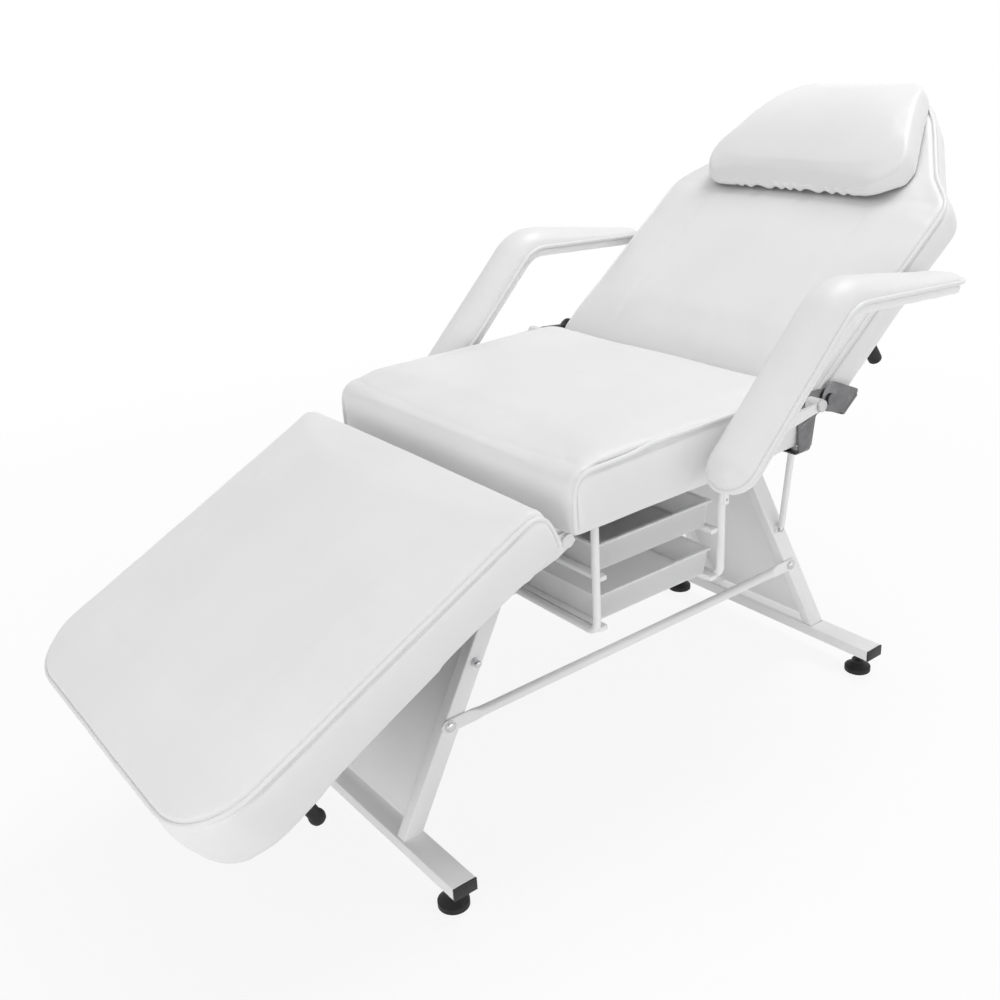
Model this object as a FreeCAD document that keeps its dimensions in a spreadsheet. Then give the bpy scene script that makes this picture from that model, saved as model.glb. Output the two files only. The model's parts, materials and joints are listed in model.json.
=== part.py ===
import FreeCAD, Part
import math
import os
import re
import Sketcher
from FreeCAD import Placement, Rotation, Vector

# Folding massage bed: a bolted leg frame carries the seat, and the backrest and legrest pads fold about it.
# +X points to the head end, +Z is up, and the side at -Y is the left of someone who lies on the bed.
# In the seat's frame x counts from the seat's middle, and in the legs' frame from between the leg frames.
# Each fold has a frame of its own at its pivot, in which the pad is drawn lying flat.

doc = FreeCAD.newDocument("MassageBed")
sheet = doc.addObject("Spreadsheet::Sheet", "Sizes")

# Driving sizes in millimetres and degrees
SIZES = [
    ("seat_x", 25.3, "seat's middle from the origin"),
    ("pad_width", 590, "width of the seat and legrest pads at their drawn-in edges"),
    ("side_bulge", 5, "swell of a pad's side between its edges"),
    ("pad_side", 80, "height of the seat's and the legrest's sides"),
    ("pad_crown", 14, "rise of a pad's middle above its edges"),
    ("edge_round", 26, "rounding of the wrapped edges"),
    ("seat_base", 545, "height of the seat pad's underside"),
    ("seat_front", 254, "seat's middle to its front end"),
    ("seat_lip", 8, "seat pad's sides reach this far down past the board's top"),
    ("pad_gap", 1.2, "gap between the seat and the backrest's round end"),
    ("board_thick", 12, "thickness of the boards under the pads"),
    ("board_inset", 22, "boards stand back from the pads' sides"),
    ("rail_side", 25, "square tube of the seat frame"),
    ("rail_wall", 2, "wall of the seat frame's tube"),
    ("rail_front", 248, "seat's middle to a side rail's front end"),
    ("rail_rear", 278, "seat's middle to a side rail's rear end"),
    ("rail_inset", 70, "middle of a side rail in from the pads' edge"),
    ("leg_shift", 19, "leg frames' middle towards the head from the seat's middle"),
    ("leg_foot_x", 467, "leg centre at the floor bar, from the leg frames' middle"),
    ("leg_top_x", 225, "leg centre under the seat frame, from the leg frames' middle"),
    ("leg_wide", 34, "leg tube's width, cut level"),
    ("leg_deep", 20, "leg tube's depth across the bed"),
    ("leg_wall", 2, "wall of the leg tube"),
    ("leg_wall_level", 2.3, "wall of the leg tube, cut level along the bed"),
    ("leg_outer", 134, "outer face of a leg from the middle plane"),
    ("panel_thick", 3.5, "leg panel's thickness, cut level"),
    ("panel_gap", 14, "gap between a leg panel and the floor bar"),
    ("bar_wide", 40, "floor bar's width"),
    ("bar_high", 20, "floor bar's height"),
    ("bar_wall", 2, "wall of the floor bar"),
    ("bar_half", 261, "half length of a floor bar"),
    ("bar_base", 38, "floor bar's underside above the floor"),
    ("cap_head", 4, "thickness of an end cap's head"),
    ("cap_plug", 14, "depth of an end cap's plug"),
    ("foot_inset", 31, "levelling foot in from the floor bar's end"),
    ("foot_radius", 23.5, "radius of a levelling foot"),
    ("foot_rim", 8, "height of a levelling foot's rim"),
    ("foot_neck", 11, "radius of a levelling foot's neck"),
    ("foot_high", 22, "height of a levelling foot under its stem"),
    ("stem_radius", 4, "radius of a foot's threaded stem"),
    ("stem_top", 54, "top of a foot's stem"),
    ("insert_wall", 3, "wall of the threaded insert"),
    ("insert_flange", 3, "flange of the threaded insert"),
    ("insert_deep", 12, "depth of the threaded insert in the bar"),
    ("fit_gap", 0.05, "running clearance of a pin in its bore, on the radius"),
    ("seat_fit", 0.02, "clearance of a fixed bolt in its hole, on the radius"),
    ("brace_z", 218, "height of the side braces"),
    ("brace_back", 8, "brace bolts towards the foot from the legs' centres"),
    ("brace_radius", 8, "radius of a side brace"),
    ("brace_tab", 4, "thickness of a brace's flattened end"),
    ("brace_tab_high", 22, "height of a brace's flattened end"),
    ("brace_end", 14, "flattened end past its bolt"),
    ("brace_neck", 34, "bolt to the start of the round tube"),
    ("bolt_radius", 4, "radius of a brace bolt"),
    ("bolt_head", 8, "radius of a bolt's head"),
    ("bolt_head_high", 4.5, "height of a bolt's head"),
    ("stay_z", 303, "height of the bolts that hold the stays"),
    ("stay_bolt", 6, "radius of a stay bolt"),
    ("stay_bolt_end", 12, "stay bolt's end past the leg"),
    ("stay_radius", 5.7, "radius of a stay"),
    ("stay_eye", 10, "radius of a stay's flattened eye"),
    ("stay_eye_thick", 6, "thickness of a stay's flattened eye"),
    ("stay_top_x", 250, "stay's upper end from the leg frames' middle"),
    ("stay_pad", 7, "radius of a stay's upper pad"),
    ("stay_pad_high", 12, "height of a stay's upper pad"),
    ("tray_x", 52, "trays' middle towards the foot from the seat's middle"),
    ("tray_half", 118, "half width of a tray's rim along the bed"),
    ("tray_clear", 10, "a tray's rim in from the middle of a hoop's leg"),
    ("tray_high", 44, "height of a tray"),
    ("tray_wall", 2, "wall of a tray"),
    ("tray_rim", 4, "rim past a tray's wall"),
    ("tray_rim_thick", 3, "thickness of a tray's rim"),
    ("tray_draft", 4, "a tray's wall leans in by this towards its floor"),
    ("lower_tray_z", 352, "height of the lower tray's floor"),
    ("upper_tray_z", 432, "height of the upper tray's floor"),
    ("hoop_radius", 6, "radius of a tray hoop's rod"),
    ("hoop_inset", 45, "middle of a hoop's leg in from the pads' edge"),
    ("hoop_clear", 4, "gap between a tray's rim and a hoop"),
    ("hoop_bend", 18, "bend radius of a hoop, to the rod's centre"),
    ("hoop_base", 346, "height of a hoop's lower bar, to its centre"),
    ("runner_wide", 15, "width of a tray runner"),
    ("runner_high", 8, "height of a tray runner"),
    ("back_pivot_x", 247, "backrest's pivot from the seat's middle"),
    ("pivot_depth", 18, "backrest's pivot below its front surface"),
    ("back_angle", 37.5, "backrest's rest angle"),
    ("back_thick", 60, "height of the backrest's side"),
    ("back_heel", 14, "start of the backrest's underside past the pivot"),
    ("back_straight", 382, "pivot to the shoulders of the backrest"),
    ("neck_start", 436, "pivot to the foot of the shoulders"),
    ("neck_inset", 52, "backrest's side drawn in at the foot of the shoulders"),
    ("back_taper", 560, "pivot to the start of the head's taper"),
    ("head_inset", 128, "backrest's side drawn in at the start of the head's taper"),
    ("back_length", 620, "pivot to the backrest's head end"),
    ("tip_inset", 183, "backrest's side drawn in at its head end"),
    ("shoulder_round", 45, "rounding of the backrest's shoulders"),
    ("head_round", 42, "rounding of the head end's corners"),
    ("back_board_short", 35, "backrest's board ends this short of the pad"),
    ("back_board_tip", 18, "backrest's board in from the pad's side at the head end"),
    ("buffer_along", 148, "pivot to a rubber buffer"),
    ("buffer_radius", 11, "radius of a rubber buffer"),
    ("buffer_high", 44, "height of a rubber buffer"),
    ("pillow_start", 362, "pivot to the pillow's lower edge"),
    ("pillow_length", 258, "length of the pillow along the backrest"),
    ("pillow_inset", 69, "pillow's lower edge in from the backrest's side"),
    ("pillow_top_inset", 175, "pillow's upper edge in from the backrest's side"),
    ("pillow_round", 58, "rounding of the pillow's corners"),
    ("pillow_thick", 56, "pillow's height over the pad at its lower edge"),
    ("pillow_thin", 34, "pillow's height over the pad at its upper edge"),
    ("pillow_crown", 12, "rise of the pillow's middle"),
    ("soft_gap", 0.4, "gap under a soft piece that lies on another"),
    ("rest_pivot_x", 229, "legrest's pivot towards the foot from the seat's middle"),
    ("rest_angle", 26.5, "legrest's rest angle below level"),
    ("rest_gap", 3.7, "gap between the seat and the level legrest"),
    ("rest_length", 577, "length of the legrest pad"),
    ("rest_sag", 16, "legrest's underside falls by this at the foot end"),
    ("rest_corner", 96, "corner radius of the legrest's foot end"),
    ("lug_thick", 5, "thickness of a legrest lug"),
    ("lug_half", 18, "half width of a legrest lug"),
    ("lug_drop", 13, "legrest lug below its pivot"),
    ("rest_pin", 6, "radius of a legrest pivot pin"),
    ("rest_pin_head", 10, "radius of a legrest pin's head"),
    ("pin_head_thick", 4, "thickness of a pivot pin's head"),
    ("side_gap", 0.5, "gap between plates that turn past each other"),
    ("arm_plate", 5, "thickness of a legrest arm"),
    ("arm_plate_long", 150, "length of a legrest arm from its pivot"),
    ("arm_plate_end", 12, "depth of a legrest arm's far end"),
    ("arm_plate_eye", 12, "half height of a legrest arm at its pivot"),
    ("leaf_clear", 1, "gap between the pads' swelling sides and the seat's hinge leaf"),
    ("leaf_thick", 3, "thickness of a hinge leaf"),
    ("leaf_foot", 4, "thickness of a hinge leaf's foot"),
    ("leaf_left", 184, "foot-side edge of the seat's hinge leaf"),
    ("leaf_wide", 34, "width of the seat's hinge leaf"),
    ("hinge_bolt", 5, "radius of a backrest pivot bolt"),
    ("hinge_bolt_head", 9, "radius of a backrest pivot bolt's head"),
    ("back_leaf_long", 52, "length of the backrest's hinge leaf"),
    ("back_leaf_in", 40, "reach of the backrest leaf's foot under the board"),
    ("arm_out", 49, "middle of an armrest out from the seat's hinge leaf"),
    ("arm_half", 40, "half width of an armrest pad"),
    ("arm_tip_x", -39, "armrest's lower tip from the seat's middle"),
    ("arm_tip_z", 552, "height of the armrest's lower tip"),
    ("arm_slope", 44.8, "slope of the armrest's rising part"),
    ("arm_rise", 313, "lower tip to the armrest's bend"),
    ("arm_reach", 287, "bend to the armrest's rear tip"),
    ("arm_drop", 3.2, "fall of the armrest's rear part, in degrees"),
    ("arm_bend", 60, "bend radius of the armrest's underside"),
    ("arm_edge", 9, "height of an armrest pad's edge"),
    ("arm_crest", 34, "height of an armrest pad's crest"),
    ("arm_rear_crest", 14, "height of an armrest pad's crest at its rear end"),
    ("arm_board", 15, "thickness of an armrest's board"),
    ("arm_board_half", 37, "half width of an armrest's board"),
    ("arm_pin_x", 192, "armrest's pivot from the seat's middle"),
    ("arm_pin_z", 615, "height of the armrest's pivot"),
    ("arm_pin", 6, "radius of an armrest's pivot pin"),
    ("arm_pin_head", 9, "radius of an armrest pin's head"),
    ("hub_wall", 4, "wall of an armrest's hub"),
    ("hub_out", 12, "inner end of an armrest's hub out from the seat's hinge leaf"),
    ("gusset_out", 27, "inner face of an armrest's gusset out from the seat's hinge leaf"),
    ("gusset_thick", 5, "thickness of an armrest's gusset"),
    ("gusset_low", 45, "lower tip to the start of the gusset"),
    ("gusset_high", 100, "lower tip to the end of the gusset"),
    ("strap_out", 19, "stop strap out from the seat's hinge leaf"),
    ("strap_thick", 4, "thickness of a stop strap"),
    ("strap_start", 40, "lower tip to the stop strap"),
    ("strap_wide", 12, "width of a stop strap along the armrest"),
    ("strap_end", 512, "height of a stop strap's lower end"),
    ("strap_hole", 2.5, "radius of the hole in a stop strap"),
]
for row, (alias, number, meaning) in enumerate(SIZES, start=1):
    sheet.set(f"A{row}", meaning)
    sheet.set(f"B{row}", str(number))
    sheet.setAlias(f"B{row}", alias)
doc.recompute()

ALIASES = {alias for alias, number, meaning in SIZES}

# Sizes that follow from the driving ones
DERIVED = {
    "half_width": "(pad_width / 2)",
    "rail_y": "(pad_width / 2 - rail_inset)",
    "foot_y": "(bar_half - foot_inset)",
    "hoop_y": "(pad_width / 2 - hoop_inset)",
    "tray_reach": "(pad_width / 2 - hoop_inset - tray_clear)",
    "neck_half": "(pad_width / 2 - neck_inset)",
    "head_half": "(pad_width / 2 - head_inset)",
    "head_tip": "(pad_width / 2 - tip_inset)",
    "buffer_y": "(pad_width / 2 - board_inset - buffer_radius)",
    "pillow_half": "(pad_width / 2 - pillow_inset)",
    "pillow_top_half": "(pad_width / 2 - pillow_top_inset)",
    "leaf_y": "(pad_width / 2 + side_bulge + leaf_clear)",
    "arm_y": "(pad_width / 2 + side_bulge + leaf_clear + arm_out)",
    "hub_start": "(pad_width / 2 + side_bulge + leaf_clear + hub_out)",
    "gusset_y": "(pad_width / 2 + side_bulge + leaf_clear + gusset_out)",
    "strap_y": "(pad_width / 2 + side_bulge + leaf_clear + strap_out)",
    "seat_top": "(seat_base + pad_side)",
    "board_half": "(pad_width / 2 - board_inset)",
    "rail_top": "(seat_base - board_thick)",
    "rail_base": "(seat_base - board_thick - rail_side)",
    "bar_top": "(bar_base + bar_high)",
    "seat_rear": "(back_pivot_x - pivot_depth - pad_gap)",
    "back_pivot_z": "(seat_base + pad_side - pivot_depth)",
    "rest_start": "(seat_front + rest_gap - rest_pivot_x)",
    "rest_base": "(board_thick + rail_side)",
    "back_leaf_y": "(leaf_y + leaf_thick + side_gap)",
    "hoop_reach": "(tray_half + hoop_clear + hoop_radius)",
    "lug_y": "(rail_y + rail_side / 2)",
    "arm_plate_y": "(rail_y + rail_side / 2 + lug_thick + side_gap)",
    "bearing": "(stem_radius + fit_gap)",
}


def spelled(text):
    """Write out a formula with the sheet's cells in place of the sizes' names."""
    text = str(text)
    while any(re.search(rf"\b{name}\b", text) for name in DERIVED):
        for name, formula in DERIVED.items():
            text = re.sub(rf"\b{name}\b", formula, text)
    return re.sub(r"[a-z_][a-z_0-9]*", lambda word: cell(word.group()), text)


def cell(word):
    """Give a size's cell, or the word itself where it is a function."""
    return f"Sizes.{word}" if word in ALIASES else word


def size(formula):
    """Work out a formula of named sizes."""
    result = sheet.evalExpression(spelled(formula))
    return float(getattr(result, "Value", result))


def bind(item, **formulas):
    """Bind an object's properties to formulas of named sizes."""
    for prop, formula in formulas.items():
        item.setExpression(prop, spelled(formula))


def put(item, x, y, z):
    """Bind an object's place to formulas of named sizes."""
    for axis, formula in zip("xyz", (x, y, z)):
        item.setExpression(f"Placement.Base.{axis}", spelled(formula))


AXIS_TURN = {
    "x": Rotation(Vector(0, 1, 0), 90),
    "y": Rotation(Vector(1, 0, 0), -90),
    "z": Rotation(),
}
UPRIGHT = Rotation(Vector(1, 0, 0), 90)


def box(long, wide, high, x, y, z):
    """Make a block from its lowest corner."""
    item = doc.addObject("Part::Box", "Block")
    bind(item, Length=long, Width=wide, Height=high)
    put(item, x, y, z)
    return item


def rod(radius, length, x, y, z, axis):
    """Make a round bar that runs from a point along an axis."""
    item = doc.addObject("Part::Cylinder", "Rod")
    bind(item, Radius=radius, Height=length)
    item.Placement = Placement(Vector(), AXIS_TURN[axis])
    put(item, x, y, z)
    return item


def leaning(low, high, low_x, high_x, near, far):
    """Make an upright block whose ends are level and whose sides lean in x. Near and far count towards -Y."""
    item = doc.addObject("Part::Wedge", "Leaning")
    bind(item, Ymin=low, Ymax=high, Xmin=low_x[0], Xmax=low_x[1], X2min=high_x[0], X2max=high_x[1])
    bind(item, Zmin=near[0], Z2min=near[1], Zmax=far[0], Z2max=far[1])
    item.Placement = Placement(Vector(), UPRIGHT)
    return item


def joined(*items):
    """Join solids of one piece."""
    item = doc.addObject("Part::MultiFuse", "Joined")
    item.Shapes = list(items)
    item.Refine = True
    return item


def less(base, *tools):
    """Cut tools from a solid."""
    item = doc.addObject("Part::Cut", "Less")
    item.Base = base
    item.Tool = tools[0] if len(tools) == 1 else joined(*tools)
    return item


def group(*items):
    """Keep separate solids as one node."""
    item = doc.addObject("Part::Compound", "Group")
    item.Links = list(items)
    return item


def mirrored(item):
    """Mirror a piece to the other side of the bed."""
    twin = doc.addObject("Part::Mirroring", "Twin")
    twin.Source = item
    twin.Normal = Vector(0, 1, 0)
    return twin


def origin_plane(body, role):
    """Find one of a body's own origin planes."""
    return next(plane for plane in body.Origin.OriginFeatures if plane.Role == role)


def outline_sketch(body, role, offset, points, holes=()):
    """Draw a closed outline with round holes, every corner and hole bound to named sizes."""
    sketch = body.newObject("Sketcher::SketchObject", "Outline")
    sketch.AttachmentSupport = [(origin_plane(body, role), "")]
    sketch.MapMode = "FlatFace"
    sketch.setExpression("AttachmentOffset.Base.z", spelled(offset))
    corners = [Vector(size(x), size(y), 0) for x, y in points]
    count = len(corners)
    for index, corner in enumerate(corners):
        sketch.addGeometry(Part.LineSegment(corner, corners[(index + 1) % count]), False)
    for index in range(count):
        sketch.addConstraint(Sketcher.Constraint("Coincident", index, 2, (index + 1) % count, 1))
    for index, (x, y) in enumerate(points):
        bound(sketch, f"corner_x{index}", "DistanceX", (-1, 1, index, 1), x)
        bound(sketch, f"corner_y{index}", "DistanceY", (-1, 1, index, 1), y)
    for index, (x, y, radius) in enumerate(holes, start=count):
        centre = Vector(size(x), size(y), 0)
        sketch.addGeometry(Part.Circle(centre, Vector(0, 0, 1), size(radius)), False)
        bound(sketch, f"hole_x{index}", "DistanceX", (-1, 1, index, 3), x)
        bound(sketch, f"hole_y{index}", "DistanceY", (-1, 1, index, 3), y)
        bound(sketch, f"hole_r{index}", "Radius", (index,), radius)
    return sketch


def bound(sketch, name, kind, where, formula):
    """Add a named sketch dimension and bind it to a formula."""
    index = sketch.addConstraint(Sketcher.Constraint(kind, *where, size(formula)))
    sketch.renameConstraint(index, name)
    sketch.setExpression(f"Constraints.{name}", spelled(formula))


def plate(role, offset, thickness, points, holes=()):
    """Make a flat plate from its outline. On XZ_Plane it grows from its offset towards -Y."""
    body = doc.addObject("PartDesign::Body", "Plate")
    pad = body.newObject("PartDesign::Pad", "Thickness")
    pad.Profile = outline_sketch(body, role, offset, points, holes)
    bind(pad, Length=thickness)
    body.Tip = pad
    return body


def turned(points):
    """Turn a half outline of radius and height about the upright axis."""
    body = doc.addObject("PartDesign::Body", "Turned")
    sketch = outline_sketch(body, "XZ_Plane", 0, points)
    turn = body.newObject("PartDesign::Revolution", "Turn")
    turn.Profile = sketch
    turn.ReferenceAxis = (sketch, ["V_Axis"])
    turn.Angle = 360
    body.Tip = turn
    return body


def form(shape):
    """Keep a soft form that Part's own functions made."""
    item = doc.addObject("Part::Feature", "Form")
    item.Shape = shape
    return item


NODES = {}


def node(name, item, place=Placement()):
    """Name a sub-part and put it in its frame."""
    item.Label = name
    item.Placement = place.multiply(item.Placement)
    NODES[name] = item
    return item


def pair(name, item, place):
    """Name a sub-part of the left side and its twin on the right."""
    node(f"{name}_left", item, place)
    doc.recompute()
    node(f"{name}_right", mirrored(item))


SEAT_FRAME = Placement(Vector(size("seat_x"), 0, 0), Rotation())
LEG_FRAME = Placement(Vector(size("seat_x + leg_shift"), 0, 0), Rotation())
BRACE_FRAME = Placement(Vector(size("seat_x + leg_shift - brace_back"), 0, 0), Rotation())
BACK_FRAME = Placement(
    Vector(size("seat_x + back_pivot_x"), 0, size("back_pivot_z")),
    Rotation(Vector(0, 1, 0), -size("back_angle")),
)
REST_FRAME = Placement(
    Vector(size("seat_x - rest_pivot_x"), 0, size("rail_base")),
    Rotation(Vector(0, 1, 0), -size("rest_angle")),
)


# Leg frames, floor bars and feet
def leg_x(height):
    """Give the formula of a leg's centre at a height."""
    return f"(leg_foot_x - (leg_foot_x - leg_top_x) * (({height}) - bar_top) / (rail_base - bar_top))"


def slanted(height_low, height_high, wide, y_from, y_to, sign):
    """Make a bar that follows a leg's slope. Sign is 1 at the head end and -1 at the foot end."""
    ends = []
    for height in (height_low, height_high):
        centre = f"{sign} * {leg_x(height)}"
        ends.append((f"{centre} - ({wide}) / 2", f"{centre} + ({wide}) / 2"))
    return leaning(height_low, height_high, ends[0], ends[1], (y_from, y_from), (y_to, y_to))


def leg_tube(sign):
    """Make the left leg tube of one leg frame, with the holes of its bolts."""
    inner = "leg_outer - leg_deep"
    tube = slanted("bar_top", "rail_base", "leg_wide", inner, "leg_outer", sign)
    hollow = slanted(
        "bar_top", "rail_base", "leg_wide - 2 * leg_wall_level",
        f"{inner} + leg_wall", "leg_outer - leg_wall", sign,
    )
    holes = []
    for height, radius, back in (("brace_z", "bolt_radius", "brace_back"), ("stay_z", "stay_bolt", "0")):
        hole = rod(
            f"{radius} + seat_fit", "2 * leg_wall", f"{sign} * {leg_x(height)} - {back}",
            "-leg_outer - leg_wall / 2", height, "y",
        )
        holes.append(hole)
    return less(tube, hollow, *holes)


def leg_panel(sign):
    """Make the sheet between the two tubes of a leg frame."""
    reach = "leg_outer - leg_deep"
    return slanted("bar_top + panel_gap", "rail_base", "panel_thick", f"-({reach})", reach, sign)


def floor_bar(sign):
    """Make a floor bar with the holes of its feet's inserts."""
    left = f"{sign} * leg_foot_x - bar_wide / 2"
    bar = box("bar_wide", "2 * bar_half", "bar_high", left, "-bar_half", "bar_base")
    hollow = box(
        "bar_wide - 2 * bar_wall", "2 * bar_half", "bar_high - 2 * bar_wall",
        f"{left} + bar_wall", "-bar_half", "bar_base + bar_wall",
    )
    holes = []
    for side in (-1, 1):
        hole = rod(
            "bearing + insert_wall + seat_fit", "2 * bar_wall", f"{sign} * leg_foot_x",
            f"{side} * foot_y", "bar_base - bar_wall / 2", "z",
        )
        holes.append(hole)
    return less(bar, hollow, *holes)


def end_cap(sign, side):
    """Make the cap that plugs one end of a floor bar."""
    left = f"{sign} * leg_foot_x - bar_wide / 2"
    head_y = "bar_half" if side > 0 else "-bar_half - cap_head"
    plug_y = "bar_half - cap_plug" if side > 0 else "-bar_half"
    inset = "(bar_wall + fit_gap)"
    head = box("bar_wide", "cap_head", "bar_high", left, head_y, "bar_base")
    plug = box(
        f"bar_wide - 2 * {inset}", "cap_plug", f"bar_high - 2 * {inset}",
        f"{left} + {inset}", plug_y, f"bar_base + {inset}",
    )
    return joined(head, plug)


def foot_insert(sign, side):
    """Make the threaded insert that holds a foot's stem."""
    x = f"{sign} * leg_foot_x"
    y = f"{side} * foot_y"
    sleeve = rod("bearing + insert_wall", "insert_deep", x, y, "bar_base", "z")
    flange = rod("bearing + 2 * insert_wall", "insert_flange", x, y, "bar_base - insert_flange", "z")
    bore = rod(
        "bearing", "insert_deep + 2 * insert_flange", x, y, "bar_base - 1.5 * insert_flange", "z"
    )
    return less(joined(sleeve, flange), bore)


def levelling_foot():
    """Make a levelling foot: a rubber disc on a threaded stem."""
    return turned([
        ("0", "0"),
        ("foot_radius", "0"),
        ("foot_radius", "foot_rim"),
        ("foot_neck", "foot_rim + (foot_high - foot_rim) * 0.6"),
        ("foot_neck", "foot_high"),
        ("stem_radius", "foot_high"),
        ("stem_radius", "stem_top"),
        ("0", "stem_top"),
    ])


ENDS = {"front": -1, "rear": 1}
SIDES = {"left": -1, "right": 1}
CORNERS = [(end, side) for end in ENDS for side in SIDES]
for end, sign in ENDS.items():
    pair(f"{end}_leg_tube", leg_tube(sign), LEG_FRAME)
    node(f"{end}_leg_panel", leg_panel(sign), LEG_FRAME)
    node(f"{end}_floor_bar", floor_bar(sign), LEG_FRAME)
node("floor_bar_end_caps", group(*(end_cap(ENDS[end], SIDES[side]) for end, side in CORNERS)), LEG_FRAME)
node("foot_inserts", group(*(foot_insert(ENDS[end], SIDES[side]) for end, side in CORNERS)), LEG_FRAME)
for end, side in CORNERS:
    spot = Vector(size(f"seat_x + leg_shift + {ENDS[end]} * leg_foot_x"), size(f"{SIDES[side]} * foot_y"), 0)
    node(f"{end}_{side}_foot", levelling_foot(), Placement(spot, Rotation()))


# Braces, stays and their bolts
def side_brace():
    """Make the left brace: a round tube with flattened, bolted ends."""
    bolt_x = leg_x("brace_z")
    middle_y = "-leg_outer - brace_tab / 2"
    tube_half = f"({bolt_x} - brace_neck)"
    parts = [rod("brace_radius", f"2 * {tube_half}", f"-{tube_half}", middle_y, "brace_z", "x")]
    tab_start = f"({tube_half} - brace_radius)"
    tab_long = f"({bolt_x} + brace_end - {tab_start})"
    for x in (tab_start, f"-{tab_start} - {tab_long}"):
        parts.append(box(
            tab_long, "brace_tab", "brace_tab_high",
            x, "-leg_outer - brace_tab", "brace_z - brace_tab_high / 2",
        ))
    holes = []
    for sign in ENDS.values():
        holes.append(rod(
            "bolt_radius + seat_fit", "3 * brace_tab", f"{sign} * {bolt_x}",
            "-leg_outer - 2 * brace_tab", "brace_z", "y",
        ))
    return less(joined(*parts), *holes)


def brace_bolt(sign, side):
    """Make a bolt through a brace's end and a leg's outer wall."""
    x = f"{sign} * {leg_x('brace_z')}"
    shank_in = "leg_outer - 4 * leg_wall"
    seat_y = "(leg_outer + brace_tab)"
    shank_y = f"-{seat_y}" if side < 0 else shank_in
    head_y = f"-{seat_y} - bolt_head_high" if side < 0 else seat_y
    shank = rod("bolt_radius", f"{seat_y} - ({shank_in})", x, shank_y, "brace_z", "y")
    head = rod("bolt_head", "bolt_head_high", x, head_y, "brace_z", "y")
    return joined(shank, head)


def stay_bolt(sign, side):
    """Make a plain bolt whose end stands out of a leg."""
    inner = "leg_outer - 4 * leg_wall"
    start = "-leg_outer - stay_bolt_end" if side < 0 else inner
    length = "4 * leg_wall + stay_bolt_end"
    return rod("stay_bolt", length, f"{sign} * {leg_x('stay_z')}", start, "stay_z", "y")


def stay():
    """Make the left stay from the rear leg's bolt up to the side rail."""
    bolt_x = leg_x("stay_z")
    eye = rod("stay_eye", "stay_eye_thick", bolt_x, "-leg_outer - stay_eye_thick", "stay_z", "y")
    bore = rod(
        "stay_bolt + seat_fit", "3 * stay_eye_thick", bolt_x, "-leg_outer - 2 * stay_eye_thick", "stay_z", "y"
    )
    top_pad = rod(
        "stay_pad", "stay_pad_high", "stay_top_x", "-rail_y", "rail_base - stay_pad_high", "z"
    )
    low_y = size("-leg_outer - stay_eye_thick - stay_radius / 2")
    low = Vector(size(bolt_x), low_y, size("stay_z + stay_bolt"))
    high = Vector(size("stay_top_x"), size("-rail_y"), size("rail_base - stay_pad_high / 2"))
    bar = doc.addObject("Part::Cylinder", "Stay")
    bind(bar, Radius="stay_radius")
    bar.Height = (high - low).Length
    bar.Placement = Placement(low, Rotation(Vector(0, 0, 1), high - low))
    clear = rod(
        "stay_bolt + seat_fit", "stay_bolt_end + stay_eye_thick", bolt_x,
        "-leg_outer - stay_bolt_end - stay_eye_thick", "stay_z", "y",
    )
    return less(joined(eye, bar, top_pad), bore, clear)


pair("side_brace", side_brace(), BRACE_FRAME)
node("brace_bolts", group(*(brace_bolt(ENDS[end], SIDES[side]) for end, side in CORNERS)), BRACE_FRAME)
pair("rear_stay", stay(), LEG_FRAME)
node("stay_bolts", group(*(stay_bolt(ENDS[end], SIDES[side]) for end, side in CORNERS)), LEG_FRAME)


# Seat frame and its board
def hollow_rail(long, wide, x, y, along):
    """Make a square tube of the seat frame, open at its ends along an axis."""
    tube = box(long, wide, "rail_side", x, y, "rail_base")
    trim_x = "0" if along == "x" else "rail_wall"
    trim_y = "rail_wall" if along == "x" else "0"
    hollow = box(
        f"{long} - 2 * {trim_x}", f"{wide} - 2 * {trim_y}", "rail_side - 2 * rail_wall",
        f"{x} + {trim_x}", f"{y} + {trim_y}", "rail_base + rail_wall",
    )
    return less(tube, hollow)


side_rail = hollow_rail("(rail_front + rail_rear)", "rail_side", "-rail_front", "-lug_y", "x")
pair("side_rail", side_rail, SEAT_FRAME)
for end, sign in ENDS.items():
    cross_reach = "(rail_y - rail_side / 2)"
    cross = hollow_rail(
        "rail_side", f"2 * {cross_reach}", f"{sign} * leg_top_x - rail_side / 2", f"-{cross_reach}", "y"
    )
    node(f"{end}_cross_rail", cross, LEG_FRAME)
seat_board = box(
    "seat_front + seat_rear - 2 * board_inset", "2 * board_half", "board_thick",
    "-seat_front + board_inset", "-board_half", "rail_top",
)
node("seat_board", group(seat_board), SEAT_FRAME)


# Trays, their hoops and runners
def tray_shell(floor_z):
    """Make an open tray with leaning walls and a flat rim."""
    centre = "-tray_x"
    top = f"({floor_z} + tray_high)"

    def walls(inset, low, lean):
        wide = f"(tray_half - tray_rim - {inset})"
        reach = f"(tray_reach - tray_rim - {inset})"
        low_x = (f"{centre} - {wide} + {lean}", f"{centre} + {wide} - {lean}")
        high_x = (f"{centre} - {wide}", f"{centre} + {wide}")
        near = (f"-{reach} + {lean}", f"-{reach}")
        far = (f"{reach} - {lean}", f"{reach}")
        return leaning(low, top, low_x, high_x, near, far)

    outer = walls("0", floor_z, "tray_draft")
    inner = walls("tray_wall", f"{floor_z} + tray_wall", "tray_draft")
    rim = box(
        "2 * tray_half", "2 * tray_reach", "tray_rim_thick", f"{centre} - tray_half", "-tray_reach",
        f"{top} - tray_rim_thick",
    )
    return less(joined(outer, rim), inner)


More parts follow.
